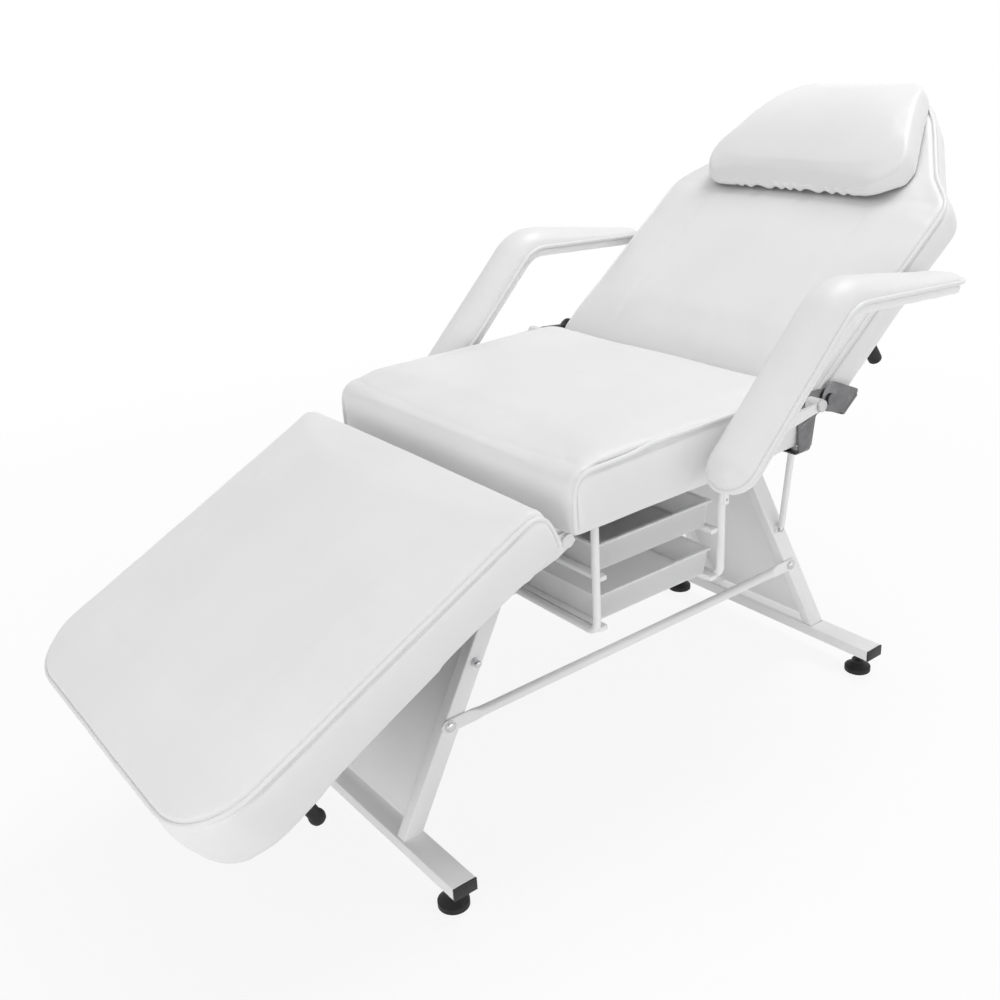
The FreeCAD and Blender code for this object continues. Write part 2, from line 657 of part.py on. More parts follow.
def tray_hoop(sign):
    """Make a U-shaped rod that hangs from the seat's board."""
    x = f"-tray_x + {sign} * hoop_reach"
    low = "(hoop_base + hoop_bend)"
    parts = [rod("hoop_radius", "2 * (hoop_y - hoop_bend)", x, "-hoop_y + hoop_bend", "hoop_base", "y")]
    for side in SIDES.values():
        parts.append(rod("hoop_radius", f"rail_top - {low}", x, f"{side} * hoop_y", low, "z"))
        bend = doc.addObject("Part::Torus", "Bend")
        bind(bend, Radius1="hoop_bend", Radius2="hoop_radius")
        bend.Angle3 = 90
        bend.Placement = Placement(Vector(), bend_turn(side))
        put(bend, x, f"{side} * (hoop_y - hoop_bend)", low)
        parts.append(bend)
    return joined(*parts)


def bend_turn(side):
    """Turn a quarter ring so that it runs from a hoop's lower bar up into its left or right leg."""
    upright = Rotation(Vector(0, 1, 0), 90)
    roll = Rotation(Vector(1, 0, 0), -90 if side < 0 else 0)
    return roll.multiply(upright)


def runners(floor_z):
    """Make the two bars that a tray slides on."""
    bars = []
    for sign in ENDS.values():
        inner = f"-tray_x + {sign} * (hoop_reach - hoop_radius)"
        x = f"{inner} - runner_wide" if sign > 0 else inner
        bars.append(box("runner_wide", "2 * hoop_y", "runner_high", x, "-hoop_y", f"{floor_z} - runner_high"))
    return group(*bars)


for end, sign in ENDS.items():
    node(f"{end}_tray_hoop", tray_hoop(sign), SEAT_FRAME)
for level in ("upper", "lower"):
    node(f"{level}_tray", tray_shell(f"{level}_tray_z"), SEAT_FRAME)
    node(f"{level}_tray_runners", runners(f"{level}_tray_z"), SEAT_FRAME)


# Soft pads: sides that swell between drawn-in edges, cut to a side profile with a crowned top
def rounded_wire(corners, level):
    """Draw a closed outline at a height, each corner (x, y, radius) rounded by an arc."""
    count = len(corners)
    arcs = []
    for index, (x, y, radius) in enumerate(corners):
        corner = Vector(x, y, level)
        before = Vector(*corners[index - 1][:2], level) - corner
        after = Vector(*corners[(index + 1) % count][:2], level) - corner
        before.normalize()
        after.normalize()
        half_angle = before.getAngle(after) / 2
        tangent = radius / math.tan(half_angle)
        towards_centre = (before + after).normalize()
        crest = corner + towards_centre * (radius / math.sin(half_angle) - radius)
        arcs.append((corner + before * tangent, crest, corner + after * tangent))
    edges = []
    for index, (first, crest, last) in enumerate(arcs):
        edges.append(Part.Arc(first, crest, last).toShape())
        edges.append(Part.LineSegment(last, arcs[(index + 1) % count][0]).toShape())
    return Part.Wire(edges)


def swelling_slab(outline, base, top, reach):
    """Loft a slab past its base and top, widest halfway up its side. Outline takes an inset."""
    bulge = size("side_bulge")
    middle = (base + top) / 2
    wires = []
    for level in (2 * middle - reach, middle, reach):
        inset = bulge * ((level - middle) / (middle - base)) ** 2 - bulge
        wires.append(rounded_wire(outline(inset), level))
    return Part.makeLoft(wires, True, False)


def side_profile(points, y):
    """Draw a closed side profile at y. A step of two points is an arc through the first of them."""
    edges = []
    spot = points[0][-1]
    for step in points[1:] + points[:1]:
        marks = [Vector(x, y, z) for x, z in [spot] + step]
        curve = Part.Arc(*marks) if len(marks) == 3 else Part.LineSegment(*marks)
        edges.append(curve.toShape())
        spot = step[-1]
    return Part.Wire(edges)


EDGE_SHARE = 0.3


def crowned(profile, reach):
    """Loft side profiles across the bed. Profile takes its share of the crown, least at the sides."""
    stations = ((EDGE_SHARE, -reach), (1, 0), (EDGE_SHARE, reach))
    sections = [side_profile(profile(share), y) for share, y in stations]
    return Part.makeLoft(sections, True, False)


def quarter(centre, radius, turn):
    """Give the middle point of a quarter round, at an angle about its centre."""
    angle = math.radians(turn)
    return centre[0] + radius * math.cos(angle), centre[1] + radius * math.sin(angle)


def cushion_block(left, right, base, top, left_round, right_round, sag=0):
    """Give a cushion's side profile: round upper edges, a crown between them and a sagging left end."""
    crown = size("pad_crown")
    underside = [((left + right) / 2, base), (right, base)] if sag else [(right, base)]

    def profile(share):
        edge_top = top + EDGE_SHARE * crown * (share - EDGE_SHARE)
        middle = (left + left_round + right - right_round) / 2
        return [
            [(left, base - sag)],
            underside,
            [(right, edge_top - right_round)],
            [quarter((right - right_round, edge_top - right_round), right_round, 45),
             (right - right_round, edge_top)],
            [(middle, top + crown * share), (left + left_round, edge_top)],
            [quarter((left + left_round, edge_top - left_round), left_round, 135),
             (left, edge_top - left_round)],
        ]

    return profile


SOFT_REACH = size("half_width + 4 * side_bulge")


def board_pocket(left, right, top):
    """Make the room that a board takes up in the underside of its pad."""
    gap = size("soft_gap")
    half = size("board_half") + gap
    deep = size("pad_side")
    return Part.makeBox(right - left + 2 * gap, 2 * half, deep, Vector(left - gap, -half, top - deep))


def seat_pad():
    """Make the seat cushion with its wrapped front edge, whose sides hide the board's edges."""
    base = size("seat_base - seat_lip")
    top = size("seat_top")
    front = -size("seat_front")
    rear = size("seat_rear")
    small = size("side_bulge")

    def outline(inset):
        half = size("half_width") - inset
        first = front - small
        last = rear + small
        return [(first, -half, small), (last, -half, small), (last, half, small), (first, half, small)]

    slab = swelling_slab(outline, base, top, top + 2 * size("pad_crown"))
    edge = size("edge_round")
    pad = slab.common(crowned(cushion_block(front, rear, base, top, edge, edge / 3), SOFT_REACH))
    inset = size("board_inset")
    return pad.cut(board_pocket(front + inset, rear - inset, size("seat_base")))


def backrest_outline(inset):
    """Give the backrest's plan: straight sides, shoulders, a narrower head with a tapered end."""
    half_plan = [
        (-2 * size("pivot_depth"), size("half_width") - inset, size("side_bulge")),
        (size("back_straight"), size("half_width") - inset, size("shoulder_round")),
        (size("neck_start"), size("neck_half") - inset, size("shoulder_round")),
        (size("back_taper"), size("head_half") - inset, size("shoulder_round")),
        (size("back_length") - inset, size("head_tip") - inset, size("head_round")),
    ]
    return [(x, -y, radius) for x, y, radius in half_plan] + half_plan[::-1]


def backrest_profile(share):
    """Give the backrest's side profile, whose round lower end turns about the pivot."""
    depth = size("pivot_depth")
    base = depth - size("back_thick")
    heel = size("back_heel")
    end = size("back_length + 3 * side_bulge")
    small = size("edge_round") / 3
    return [
        [(heel, base)],
        [(end, base)],
        [(end, depth - small)],
        [quarter((end - small, depth - small), small, 45), (end - small, depth)],
        [((end - small) / 2, depth + size("pad_crown") * share), (0, depth)],
        [quarter((0, 0), depth, 135), (-depth, 0)],
    ]


def backrest_pad(lift=0):
    """Make the backrest cushion. Lift raises its front surface for the piece that lies on it."""
    depth = size("pivot_depth")
    base = depth - size("back_thick")
    slab = swelling_slab(backrest_outline, base, depth, depth + 2 * size("pad_crown"))
    pad = slab.common(crowned(backrest_profile, SOFT_REACH))
    pad.translate(Vector(0, 0, lift))
    return pad


def legrest_pad():
    """Make the legrest cushion with its rounded foot corners and a deeper foot end."""
    base = size("rest_base")
    top = base + size("pad_side")
    start = -size("rest_start")
    end = start - size("rest_length")
    small = size("side_bulge")
    corner = size("rest_corner")

    def outline(inset):
        half = size("half_width") - inset
        foot = end + inset
        last = start + small
        return [(foot, -half, corner), (last, -half, small), (last, half, small), (foot, half, corner)]

    slab = swelling_slab(outline, base, top, top + 2 * size("pad_crown"))
    edge = size("edge_round")
    foot_face = end - 3 * size("side_bulge")
    profile = cushion_block(foot_face, start, base, top, edge / 3, edge, size("rest_sag"))
    pad = slab.common(crowned(profile, SOFT_REACH))
    return pad.cut(board_pocket(end + corner, start - size("board_inset"), base))


def head_pillow():
    """Make the wedge-shaped pillow that lies on the backrest's crown."""
    depth = size("pivot_depth")
    start = size("pillow_start")
    end = start + size("pillow_length")
    low_top = depth + size("pillow_thick")
    high_top = depth + size("pillow_thin")
    edge = size("edge_round")
    corner = size("pillow_round")
    bulge = size("side_bulge")

    def outline(inset):
        low = size("pillow_half") - inset
        high = size("pillow_top_half") - inset
        first = start + inset + bulge
        last = end - inset - bulge
        return [(first, -low, corner), (last, -high, corner), (last, high, corner), (first, low, corner)]

    def profile(share):
        rise = size("pillow_crown") * (share - EDGE_SHARE)
        return [
            [(start, depth - edge)],
            [(end, depth - edge)],
            [(end, high_top - edge / 2)],
            [quarter((end - edge / 2, high_top - edge / 2), edge / 2, 45), (end - edge / 2, high_top)],
            [((start + end) / 2, (low_top + high_top) / 2 + 2 * rise), (start + edge, low_top)],
            [quarter((start + edge, low_top - edge), edge, 135), (start, low_top - edge)],
        ]

    slab = swelling_slab(outline, depth - edge, low_top, low_top + 2 * size("pillow_crown"))
    wedge = slab.common(crowned(profile, SOFT_REACH))
    return wedge.cut(backrest_pad(size("soft_gap")))


node("seat_cushion", form(seat_pad()), SEAT_FRAME)
node("backrest_cushion", form(backrest_pad()), BACK_FRAME)
node("legrest_cushion", form(legrest_pad()), REST_FRAME)
node("head_pillow", form(head_pillow()), BACK_FRAME)


# Boards and buffers of the folding pads
BACK_UNDER = "(pivot_depth - back_thick)"
BACK_BOARD = f"({BACK_UNDER} - board_thick)"
back_outline = [
    ("back_heel", "board_half"),
    ("back_straight", "board_half"),
    ("neck_start", "neck_half - 2 * board_inset"),
    ("back_taper", "head_half - 2 * board_inset"),
    ("back_length - back_board_short", "head_tip - back_board_tip"),
]
back_outline += [(x, f"-({y})") for x, y in reversed(back_outline)]
node("backrest_board", plate("XY_Plane", BACK_BOARD, "board_thick", back_outline), BACK_FRAME)
rest_board = box(
    "rest_length - rest_corner - board_inset", "2 * board_half", "board_thick",
    "-(rest_start + rest_length - rest_corner)", "-board_half", "rail_side",
)
node("legrest_board", group(rest_board), REST_FRAME)


def buffer(side):
    """Make a rubber buffer with a domed end under the backrest."""
    y = f"{side} * buffer_y"
    post = rod(
        "buffer_radius", "buffer_high - buffer_radius / 2", "buffer_along", y,
        f"{BACK_BOARD} - buffer_high + buffer_radius / 2", "z",
    )
    dome = doc.addObject("Part::Ellipsoid", "Dome")
    bind(dome, Radius1="buffer_radius / 2", Radius2="buffer_radius", Radius3="buffer_radius")
    put(dome, "buffer_along", y, f"{BACK_BOARD} - buffer_high + buffer_radius / 2")
    return joined(post, dome)


node("backrest_buffers", group(*(buffer(side) for side in SIDES.values())), BACK_FRAME)

# Backrest hinge: the seat's leaf, the backrest's leaf and the pivot bolt between them
LEAF_FOOT_Z = "(rail_top - leaf_foot)"
LEAF_RIGHT = "(leaf_left + leaf_wide)"
seat_leaf_outline = [
    ("leaf_left", LEAF_FOOT_Z),
    (LEAF_RIGHT, LEAF_FOOT_Z),
    ("back_pivot_x - 3 * hinge_bolt", "back_pivot_z - 5 * hinge_bolt"),
    ("back_pivot_x + 3 * hinge_bolt", "back_pivot_z - 3 * hinge_bolt"),
    ("back_pivot_x + 3 * hinge_bolt", "back_pivot_z + 3 * hinge_bolt"),
    ("arm_pin_x + arm_pin", "arm_pin_z + 2.4 * arm_pin"),
    ("arm_pin_x - arm_pin", "arm_pin_z + 2.4 * arm_pin"),
    ("arm_pin_x - 2.4 * arm_pin", "arm_pin_z - arm_pin"),
]
leaf_hole = ("back_pivot_x", "back_pivot_z", "hinge_bolt + seat_fit")
seat_leaf = plate("XZ_Plane", "leaf_y", "leaf_thick", seat_leaf_outline, [leaf_hole])
seat_leaf_foot = box(
    "leaf_wide", "leaf_y + leaf_thick - lug_y", "leaf_foot", "leaf_left", "-leaf_y - leaf_thick", LEAF_FOOT_Z
)
pair("seat_hinge_leaf", joined(seat_leaf, seat_leaf_foot), SEAT_FRAME)

back_leaf_outline = [
    ("-3 * hinge_bolt", "-hinge_bolt"),
    ("-2 * hinge_bolt", "2.4 * hinge_bolt"),
    ("hinge_bolt", "3.4 * hinge_bolt"),
    ("0.6 * back_leaf_long", "2.4 * hinge_bolt"),
    ("back_leaf_long", f"0.6 * {BACK_UNDER}"),
    ("back_leaf_long", f"{BACK_BOARD} - leaf_foot"),
    ("back_heel", f"{BACK_BOARD} - leaf_foot"),
    ("0", "-3.4 * hinge_bolt"),
]
back_leaf_hole = ("0", "0", "hinge_bolt + fit_gap")
back_leaf = plate("XZ_Plane", "back_leaf_y", "leaf_thick", back_leaf_outline, [back_leaf_hole])
back_leaf_foot = box(
    "back_leaf_long - back_heel", "back_leaf_y + leaf_thick - board_half + back_leaf_in", "leaf_foot",
    "back_heel", "-back_leaf_y - leaf_thick", f"{BACK_BOARD} - leaf_foot",
)
pair("backrest_hinge_leaf", joined(back_leaf, back_leaf_foot), BACK_FRAME)


def headed_pin(radius, head, start, seat, x, z):
    """Make a pin on the left side from its start out to its seat, with a flat head past it."""
    shank = rod(radius, f"({seat}) - ({start})", x, f"-({seat})", z, "y")
    cap = rod(head, "pin_head_thick", x, f"-({seat}) - pin_head_thick", z, "y")
    return joined(shank, cap)


hinge_bolt = headed_pin(
    "hinge_bolt", "hinge_bolt_head", "leaf_y", "back_leaf_y + leaf_thick + side_gap",
    "back_pivot_x", "back_pivot_z",
)
pair("backrest_pivot_bolt", hinge_bolt, SEAT_FRAME)

# Legrest hinge: lugs on the side rails, pins and arms under the legrest's board
lug_outline = [
    ("-rest_pivot_x - lug_half", "rail_top"),
    ("-rest_pivot_x - lug_half", "rail_base"),
    ("-rest_pivot_x - lug_half / 2", "rail_base - lug_drop"),
    ("-rest_pivot_x + lug_half / 2", "rail_base - lug_drop"),
    ("-rest_pivot_x + lug_half", "rail_base"),
    ("-rest_pivot_x + lug_half", "rail_top"),
]
lug_hole = ("-rest_pivot_x", "rail_base", "rest_pin + seat_fit")
pair("legrest_lug", plate("XZ_Plane", "lug_y", "lug_thick", lug_outline, [lug_hole]), SEAT_FRAME)
rest_pin = headed_pin(
    "rest_pin", "rest_pin_head", "lug_y", "arm_plate_y + arm_plate + side_gap", "-rest_pivot_x", "rail_base"
)
pair("legrest_pivot_pin", rest_pin, SEAT_FRAME)
arm_outline = [
    ("arm_plate_eye", "-arm_plate_eye"),
    ("arm_plate_eye", "0.7 * arm_plate_eye"),
    ("-rest_start", "rail_side"),
    ("-arm_plate_long", "rail_side"),
    ("-arm_plate_long", "rail_side - arm_plate_end"),
    ("-2 * arm_plate_eye", "-arm_plate_eye"),
]
legrest_arm = plate("XZ_Plane", "arm_plate_y", "arm_plate", arm_outline, [("0", "0", "rest_pin + fit_gap")])
pair("legrest_arm", legrest_arm, REST_FRAME)


# Armrests: a padded boomerang on a board, with a gusset and hub on the seat leaf's pin
ARM_UP = Vector(math.cos(math.radians(size("arm_slope"))), 0, math.sin(math.radians(size("arm_slope"))))
ARM_BACK = Vector(math.cos(math.radians(size("arm_drop"))), 0, -math.sin(math.radians(size("arm_drop"))))
ARM_TIP = Vector(size("arm_tip_x"), size("-arm_y"), size("arm_tip_z"))
ARM_BEND = ARM_TIP + ARM_UP * size("arm_rise")
ARM_END = ARM_BEND + ARM_BACK * size("arm_reach")
SIDEWAYS = Vector(0, -1, 0)


def above(direction):
    """Give the direction square to an armrest's line, away from its underside."""
    return Vector(-direction.z, 0, direction.x)


def arm_runs(inset):
    """Make the armrest's line: two runs joined by a round bend, both ends drawn in. Give its joints too."""
    turn = math.radians(size("arm_slope + arm_drop"))
    tangent = size("arm_bend") * math.tan(turn / 2)
    start = ARM_TIP + ARM_UP * inset
    bend_start = ARM_BEND - ARM_UP * tangent
    bend_end = ARM_BEND + ARM_BACK * tangent
    end = ARM_END - ARM_BACK * inset
    centre = bend_start - above(ARM_UP) * size("arm_bend")
    crest = centre + (above(ARM_UP) + above(ARM_BACK)).normalize() * size("arm_bend")
    runs = [
        Part.LineSegment(start, bend_start).toShape(),
        Part.Arc(bend_start, crest, bend_end).toShape(),
        Part.LineSegment(bend_end, end).toShape(),
    ]
    return runs, start, bend_end, end


def pad_section(spot, direction, crest):
    """Draw the pad's section square to the armrest's line, its top arched up to a crest."""
    up = above(direction)
    half = SIDEWAYS * size("arm_half")
    shoulder = up * size("arm_edge")
    edges = [
        Part.LineSegment(spot - half, spot + half),
        Part.LineSegment(spot + half, spot + half + shoulder),
        Part.Arc(spot + half + shoulder, spot + up * crest, spot - half + shoulder),
        Part.LineSegment(spot - half + shoulder, spot - half),
    ]
    return Part.Wire([edge.toShape() for edge in edges])


def board_section(spot):
    """Draw the board's section across the armrest's rising part."""
    half = SIDEWAYS * size("arm_board_half")
    under = above(ARM_UP) * size("arm_board")
    return Part.makePolygon([spot - half, spot + half, spot + half - under, spot - half - under, spot - half])


def board_end(centre, direction):
    """Make the disc that rounds off a board at one end."""
    up = above(direction)
    thick = size("arm_board")
    return Part.makeCylinder(size("arm_board_half"), thick, centre - up * thick, up)


def round_end(centre, direction, crest):
    """Make the domed half round that closes a pad at one end, where its crest has a height."""
    up = above(direction)
    half = size("arm_half")
    edge = size("arm_edge")
    rim = centre + SIDEWAYS * half
    shoulder = rim + up * edge
    top = centre + up * crest
    radius = (half ** 2 + (crest - edge) ** 2) / (2 * (crest - edge))
    middle_angle = math.asin(half / radius) / 2
    arch_centre = centre + up * (crest - radius)
    towards_rim = SIDEWAYS * math.sin(middle_angle) + up * math.cos(middle_angle)
    on_arch = arch_centre + towards_rim * radius
    edges = [
        Part.LineSegment(centre, rim),
        Part.LineSegment(rim, shoulder),
        Part.Arc(shoulder, on_arch, top),
        Part.LineSegment(top, centre),
    ]
    face = Part.Face(Part.Wire([edge.toShape() for edge in edges]))
    return face.revolve(centre, up, 180)


def armrest_pad():
    """Make the left armrest's padded boomerang with round ends, which thins towards its rear end."""
    crest = size("arm_crest")
    rear_crest = size("arm_rear_crest")
    runs, start, bend_end, end = arm_runs(size("arm_half"))
    rise = Part.Wire(runs[:2]).makePipeShell([pad_section(start, ARM_UP, crest)], True, False)
    sections = [pad_section(bend_end, ARM_BACK, crest), pad_section(end, ARM_BACK, rear_crest)]
    reach = Part.makeLoft(sections, True, True)
    low_end = round_end(start, ARM_UP, crest)
    low_end.rotate(start, above(ARM_UP), 180)
    rear_end = round_end(end, ARM_BACK, rear_crest)
    return rise.fuse([reach, low_end, rear_end]).removeSplitter()


def armrest_board():
    """Make the board under the left armrest's pad, with round ends."""
    runs, start, _, end = arm_runs(size("arm_half"))
    board = Part.Wire(runs).makePipeShell([board_section(start)], True, False)
    return board.fuse([board_end(start, ARM_UP), board_end(end, ARM_BACK)]).removeSplitter()


def under_arm(along):
    """Give the formulas of a point on the board's underside at a distance from the lower tip."""
    x = f"(arm_tip_x + ({along}) * cos(arm_slope) + arm_board * sin(arm_slope))"
    z = f"(arm_tip_z + ({along}) * sin(arm_slope) - arm_board * cos(arm_slope))"
    return x, z


def armrest_bracket():
    """Make the gusset and hub that carry the left armrest on its pin."""
    hub = "(arm_pin + fit_gap + hub_wall)"
    outline = [
        under_arm("gusset_low"),
        under_arm("gusset_high"),
        (f"arm_pin_x + {hub}", f"arm_pin_z + {hub} / 2"),
        (f"arm_pin_x + {hub}", f"arm_pin_z - {hub}"),
        (f"arm_pin_x - {hub}", f"arm_pin_z - {hub}"),
    ]
    gusset = plate("XZ_Plane", "gusset_y", "gusset_thick", outline)
    sleeve = rod(
        hub, "gusset_y + gusset_thick - hub_start", "arm_pin_x", "-gusset_y - gusset_thick", "arm_pin_z", "y"
    )
    bore = rod(
        "arm_pin + fit_gap", "2 * (gusset_y + gusset_thick - hub_start)", "arm_pin_x",
        "-1.5 * (gusset_y + gusset_thick) + hub_start / 2", "arm_pin_z", "y",
    )
    return less(joined(gusset, sleeve), bore)


arm_pin = headed_pin(
    "arm_pin", "arm_pin_head", "leaf_y + leaf_thick", "gusset_y + gusset_thick + side_gap",
    "arm_pin_x", "arm_pin_z",
)
strap_low = under_arm("strap_start")
strap_high = under_arm("strap_start + strap_wide")
strap_outline = [strap_low, strap_high, (strap_high[0], "strap_end"), (strap_low[0], "strap_end")]
strap_hole = (f"({strap_low[0]} + {strap_high[0]}) / 2", "strap_end + 3 * strap_hole", "strap_hole")
pair("armrest_pin", arm_pin, SEAT_FRAME)
pair("armrest_pad", form(armrest_pad()), SEAT_FRAME)
pair("armrest_board", form(armrest_board()), SEAT_FRAME)
pair("armrest_bracket", armrest_bracket(), SEAT_FRAME)
pair("armrest_strap", plate("XZ_Plane", "strap_y", "strap_thick", strap_outline, [strap_hole]), SEAT_FRAME)

# Build, test every object and write each sub-part
doc.recompute()
for item in doc.Objects:
    failed = [word for word in item.State if word in ("Invalid", "Error")]
    if failed:
        raise RuntimeError(f"{item.Label} failed: {failed}")
for name, item in NODES.items():
    if item.Shape.isNull() or not item.Shape.isValid() or not item.Shape.Solids:
        raise RuntimeError(f"{name} has no valid solid")
os.makedirs("parts", exist_ok=True)
for name, item in NODES.items():
    item.Shape.exportStep(f"parts/{name}.step")
whole = FreeCAD.BoundBox()
for item in NODES.values():
    whole.add(item.Shape.optimalBoundingBox())
print(f"{len(NODES)} sub-parts")
print(f"x {whole.XMin:.2f} to {whole.XMax:.2f}, z {whole.ZMin:.2f} to {whole.ZMax:.2f}")
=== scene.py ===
import json
import math

import bmesh
import bpy
from mathutils import Matrix, Vector, noise
from mathutils.bvhtree import BVHTree
from mathutils.kdtree import KDTree


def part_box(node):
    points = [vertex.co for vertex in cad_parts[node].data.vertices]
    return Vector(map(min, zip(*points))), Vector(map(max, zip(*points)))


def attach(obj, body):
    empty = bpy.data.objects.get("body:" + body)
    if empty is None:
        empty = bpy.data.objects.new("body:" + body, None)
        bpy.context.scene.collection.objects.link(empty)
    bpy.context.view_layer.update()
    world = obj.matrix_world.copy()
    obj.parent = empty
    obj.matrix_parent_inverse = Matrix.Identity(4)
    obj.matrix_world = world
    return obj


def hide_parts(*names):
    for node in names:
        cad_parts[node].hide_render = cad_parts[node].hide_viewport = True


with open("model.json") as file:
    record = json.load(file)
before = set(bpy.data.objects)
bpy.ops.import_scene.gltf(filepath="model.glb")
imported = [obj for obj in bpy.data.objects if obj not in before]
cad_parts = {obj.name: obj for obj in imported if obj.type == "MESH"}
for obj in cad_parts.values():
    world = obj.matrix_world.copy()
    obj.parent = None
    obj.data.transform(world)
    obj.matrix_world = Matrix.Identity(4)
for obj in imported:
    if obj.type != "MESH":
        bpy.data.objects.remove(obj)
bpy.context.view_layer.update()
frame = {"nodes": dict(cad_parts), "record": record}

# Folding massage bed: white vinyl pads with piping on a white steel frame.
# The seat, the backrest and the legrest are each shaped lying flat in a frame of their own.

SEAT_X = 0.0253
BACK_ANGLE = math.radians(37.5)
REST_ANGLE = math.radians(26.5)
SEAT_FRAME = Matrix.Translation((SEAT_X, 0, 0))
BACK_FRAME = Matrix.Translation((SEAT_X + 0.247, 0, 0.607)) @ Matrix.Rotation(-BACK_ANGLE, 4, "Y")
REST_FRAME = Matrix.Translation((SEAT_X - 0.229, 0, 0.508)) @ Matrix.Rotation(-REST_ANGLE, 4, "Y")
BED_FRAME = Matrix.Identity(4)
SIDES = {"left": -1, "right": 1}
scene = bpy.context.scene

# Camera at the photograph's place
CAMERA_PLACE = Vector((SEAT_X - 1.11035, -1.30517, 1.15024))
CAMERA_RIGHT = Vector((0.7913, -0.6088, -0.0562))
CAMERA_UP = Vector((0.2778, 0.2761, 0.9200))
CAMERA_BACK = Vector((-0.5446, -0.7437, 0.3876))
camera_data = bpy.data.cameras.new("Camera")
camera_data.sensor_fit = "HORIZONTAL"
camera_data.sensor_width = 36
camera_data.lens = 40.39
camera = bpy.data.objects.new("Camera", camera_data)
scene.collection.objects.link(camera)
camera_turn = Matrix((CAMERA_RIGHT, CAMERA_UP, CAMERA_BACK)).transposed()
camera.matrix_world = Matrix.Translation(CAMERA_PLACE) @ camera_turn.to_4x4()
scene.camera = camera


# Nodes and finishes
PATTERN_RANGE = (0.3, 0.7)


def feed(tree, node, inputs):
    """Set a node's inputs to values or link them to other nodes' outputs, and give the node."""
    for label, value in inputs.items():
        if isinstance(value, bpy.types.NodeSocket):
            tree.links.new(value, node.inputs[label])
        else:
            node.inputs[label].default_value = value
    return node


def add_node(tree, kind, inputs, **settings):
    """Add a node with its settings and its inputs."""
    node = tree.nodes.new(kind)
    for label, value in settings.items():
        setattr(node, label, value)
    return feed(tree, node, inputs)


class Finish:
    """A node material with one Principled shader, its pattern on Object coordinates."""

    def __init__(self, name, roughness, metallic=0.0, specular=0.5):
        self.material = bpy.data.materials.new(name)
        self.material.use_nodes = True
        self.tree = self.material.node_tree
        self.shader = self.tree.nodes["Principled BSDF"]
        self.shade({"Roughness": roughness, "Metallic": metallic, "Specular IOR Level": specular})
        self.place = add_node(self.tree, "ShaderNodeTexCoord", {}).outputs["Object"]
        self.normal = None

    def shade(self, inputs):
        """Set some of the shader's inputs."""
        feed(self.tree, self.shader, inputs)

    def noise(self, scale, detail=2.0, roughness=0.5):
        """Give a noise pattern's value."""
        inputs = {"Vector": self.place, "Scale": scale, "Detail": detail, "Roughness": roughness}
        return add_node(self.tree, "ShaderNodeTexNoise", inputs).outputs["Fac"]

    def cells(self, scale):
        """Give a cell pattern's distance to the cell's middle."""
        inputs = {"Vector": self.place, "Scale": scale}
        return add_node(self.tree, "ShaderNodeTexVoronoi", inputs).outputs["Distance"]

    def tint(self, value, low, high, blue=0.0):
        """Let a pattern shift the colour between two greys, with some blue added or taken off."""
        ramp = add_node(self.tree, "ShaderNodeValToRGB", {"Fac": value})
        for element, position, grey in zip(ramp.color_ramp.elements, PATTERN_RANGE, (low, high)):
            element.position = position
            element.color = (grey, grey, grey + blue, 1)
        self.shade({"Base Color": ramp.outputs["Color"]})

    def gloss(self, value, low, high):
        """Let a pattern shift the roughness between two values."""
        start, stop = PATTERN_RANGE
        spread = add_node(self.tree, "ShaderNodeMapRange", {
            "Value": value, "From Min": start, "From Max": stop, "To Min": low, "To Max": high,
        })
        self.shade({"Roughness": spread.outputs["Result"]})

    def relief(self, value, strength, depth):
        """Raise a pattern as bump, over any bump laid before it."""
        inputs = {"Height": value, "Strength": strength, "Distance": depth}
        if self.normal:
            inputs["Normal"] = self.normal
        self.normal = add_node(self.tree, "ShaderNodeBump", inputs).outputs["Normal"]
        self.shade({"Normal": self.normal})


def vinyl_finish(name, low, high):
    """Make smooth coated vinyl with a fine grain and slow changes of gloss."""
    vinyl = Finish(name, roughness=0.4, specular=0.42)
    vinyl.tint(vinyl.noise(5, detail=3), low, high)
    vinyl.gloss(vinyl.noise(14, detail=3), 0.34, 0.46)
    vinyl.relief(vinyl.noise(26), strength=0.10, depth=0.004)
    vinyl.relief(vinyl.cells(820), strength=0.16, depth=0.0005)
    vinyl.relief(vinyl.noise(1500), strength=0.10, depth=0.0003)
    return vinyl.material


def coat_finish(name, low, high, peel, roughness):
    """Make powder coat or smooth plastic: a fine orange peel over a nearly even colour."""
    coat = Finish(name, roughness)
    coat.tint(coat.noise(9, detail=4), low, high)
    coat.gloss(coat.noise(60, detail=3), roughness - 0.05, roughness + 0.06)
    coat.relief(coat.noise(peel), strength=0.12, depth=0.0006)
    return coat.material


def plated_finish(name, low, high, blue):
    """Make plated steel with a cloudy tone and fine brush marks."""
    plate = Finish(name, roughness=0.34, metallic=1.0)
    plate.tint(plate.noise(45, detail=5, roughness=0.65), low, high, blue)
    plate.gloss(plate.noise(120, detail=4), 0.24, 0.44)
    plate.relief(plate.noise(900, detail=3), strength=0.15, depth=0.0003)
    return plate.material


def dull_finish(name, low, high, grain, depth, roughness, blue=0.0):
    """Make dull rubber, moulded plastic, thread, black board, or the black sheet of painted shadow under the
    pillow, from its grain.
    """
    dull = Finish(name, roughness, specular=0.35)
    dull.tint(dull.noise(30, detail=4), low, high, blue)
    dull.gloss(dull.noise(80, detail=3), roughness - 0.08, roughness + 0.08)
    dull.relief(dull.cells(grain), strength=0.35, depth=depth)
    return dull.material


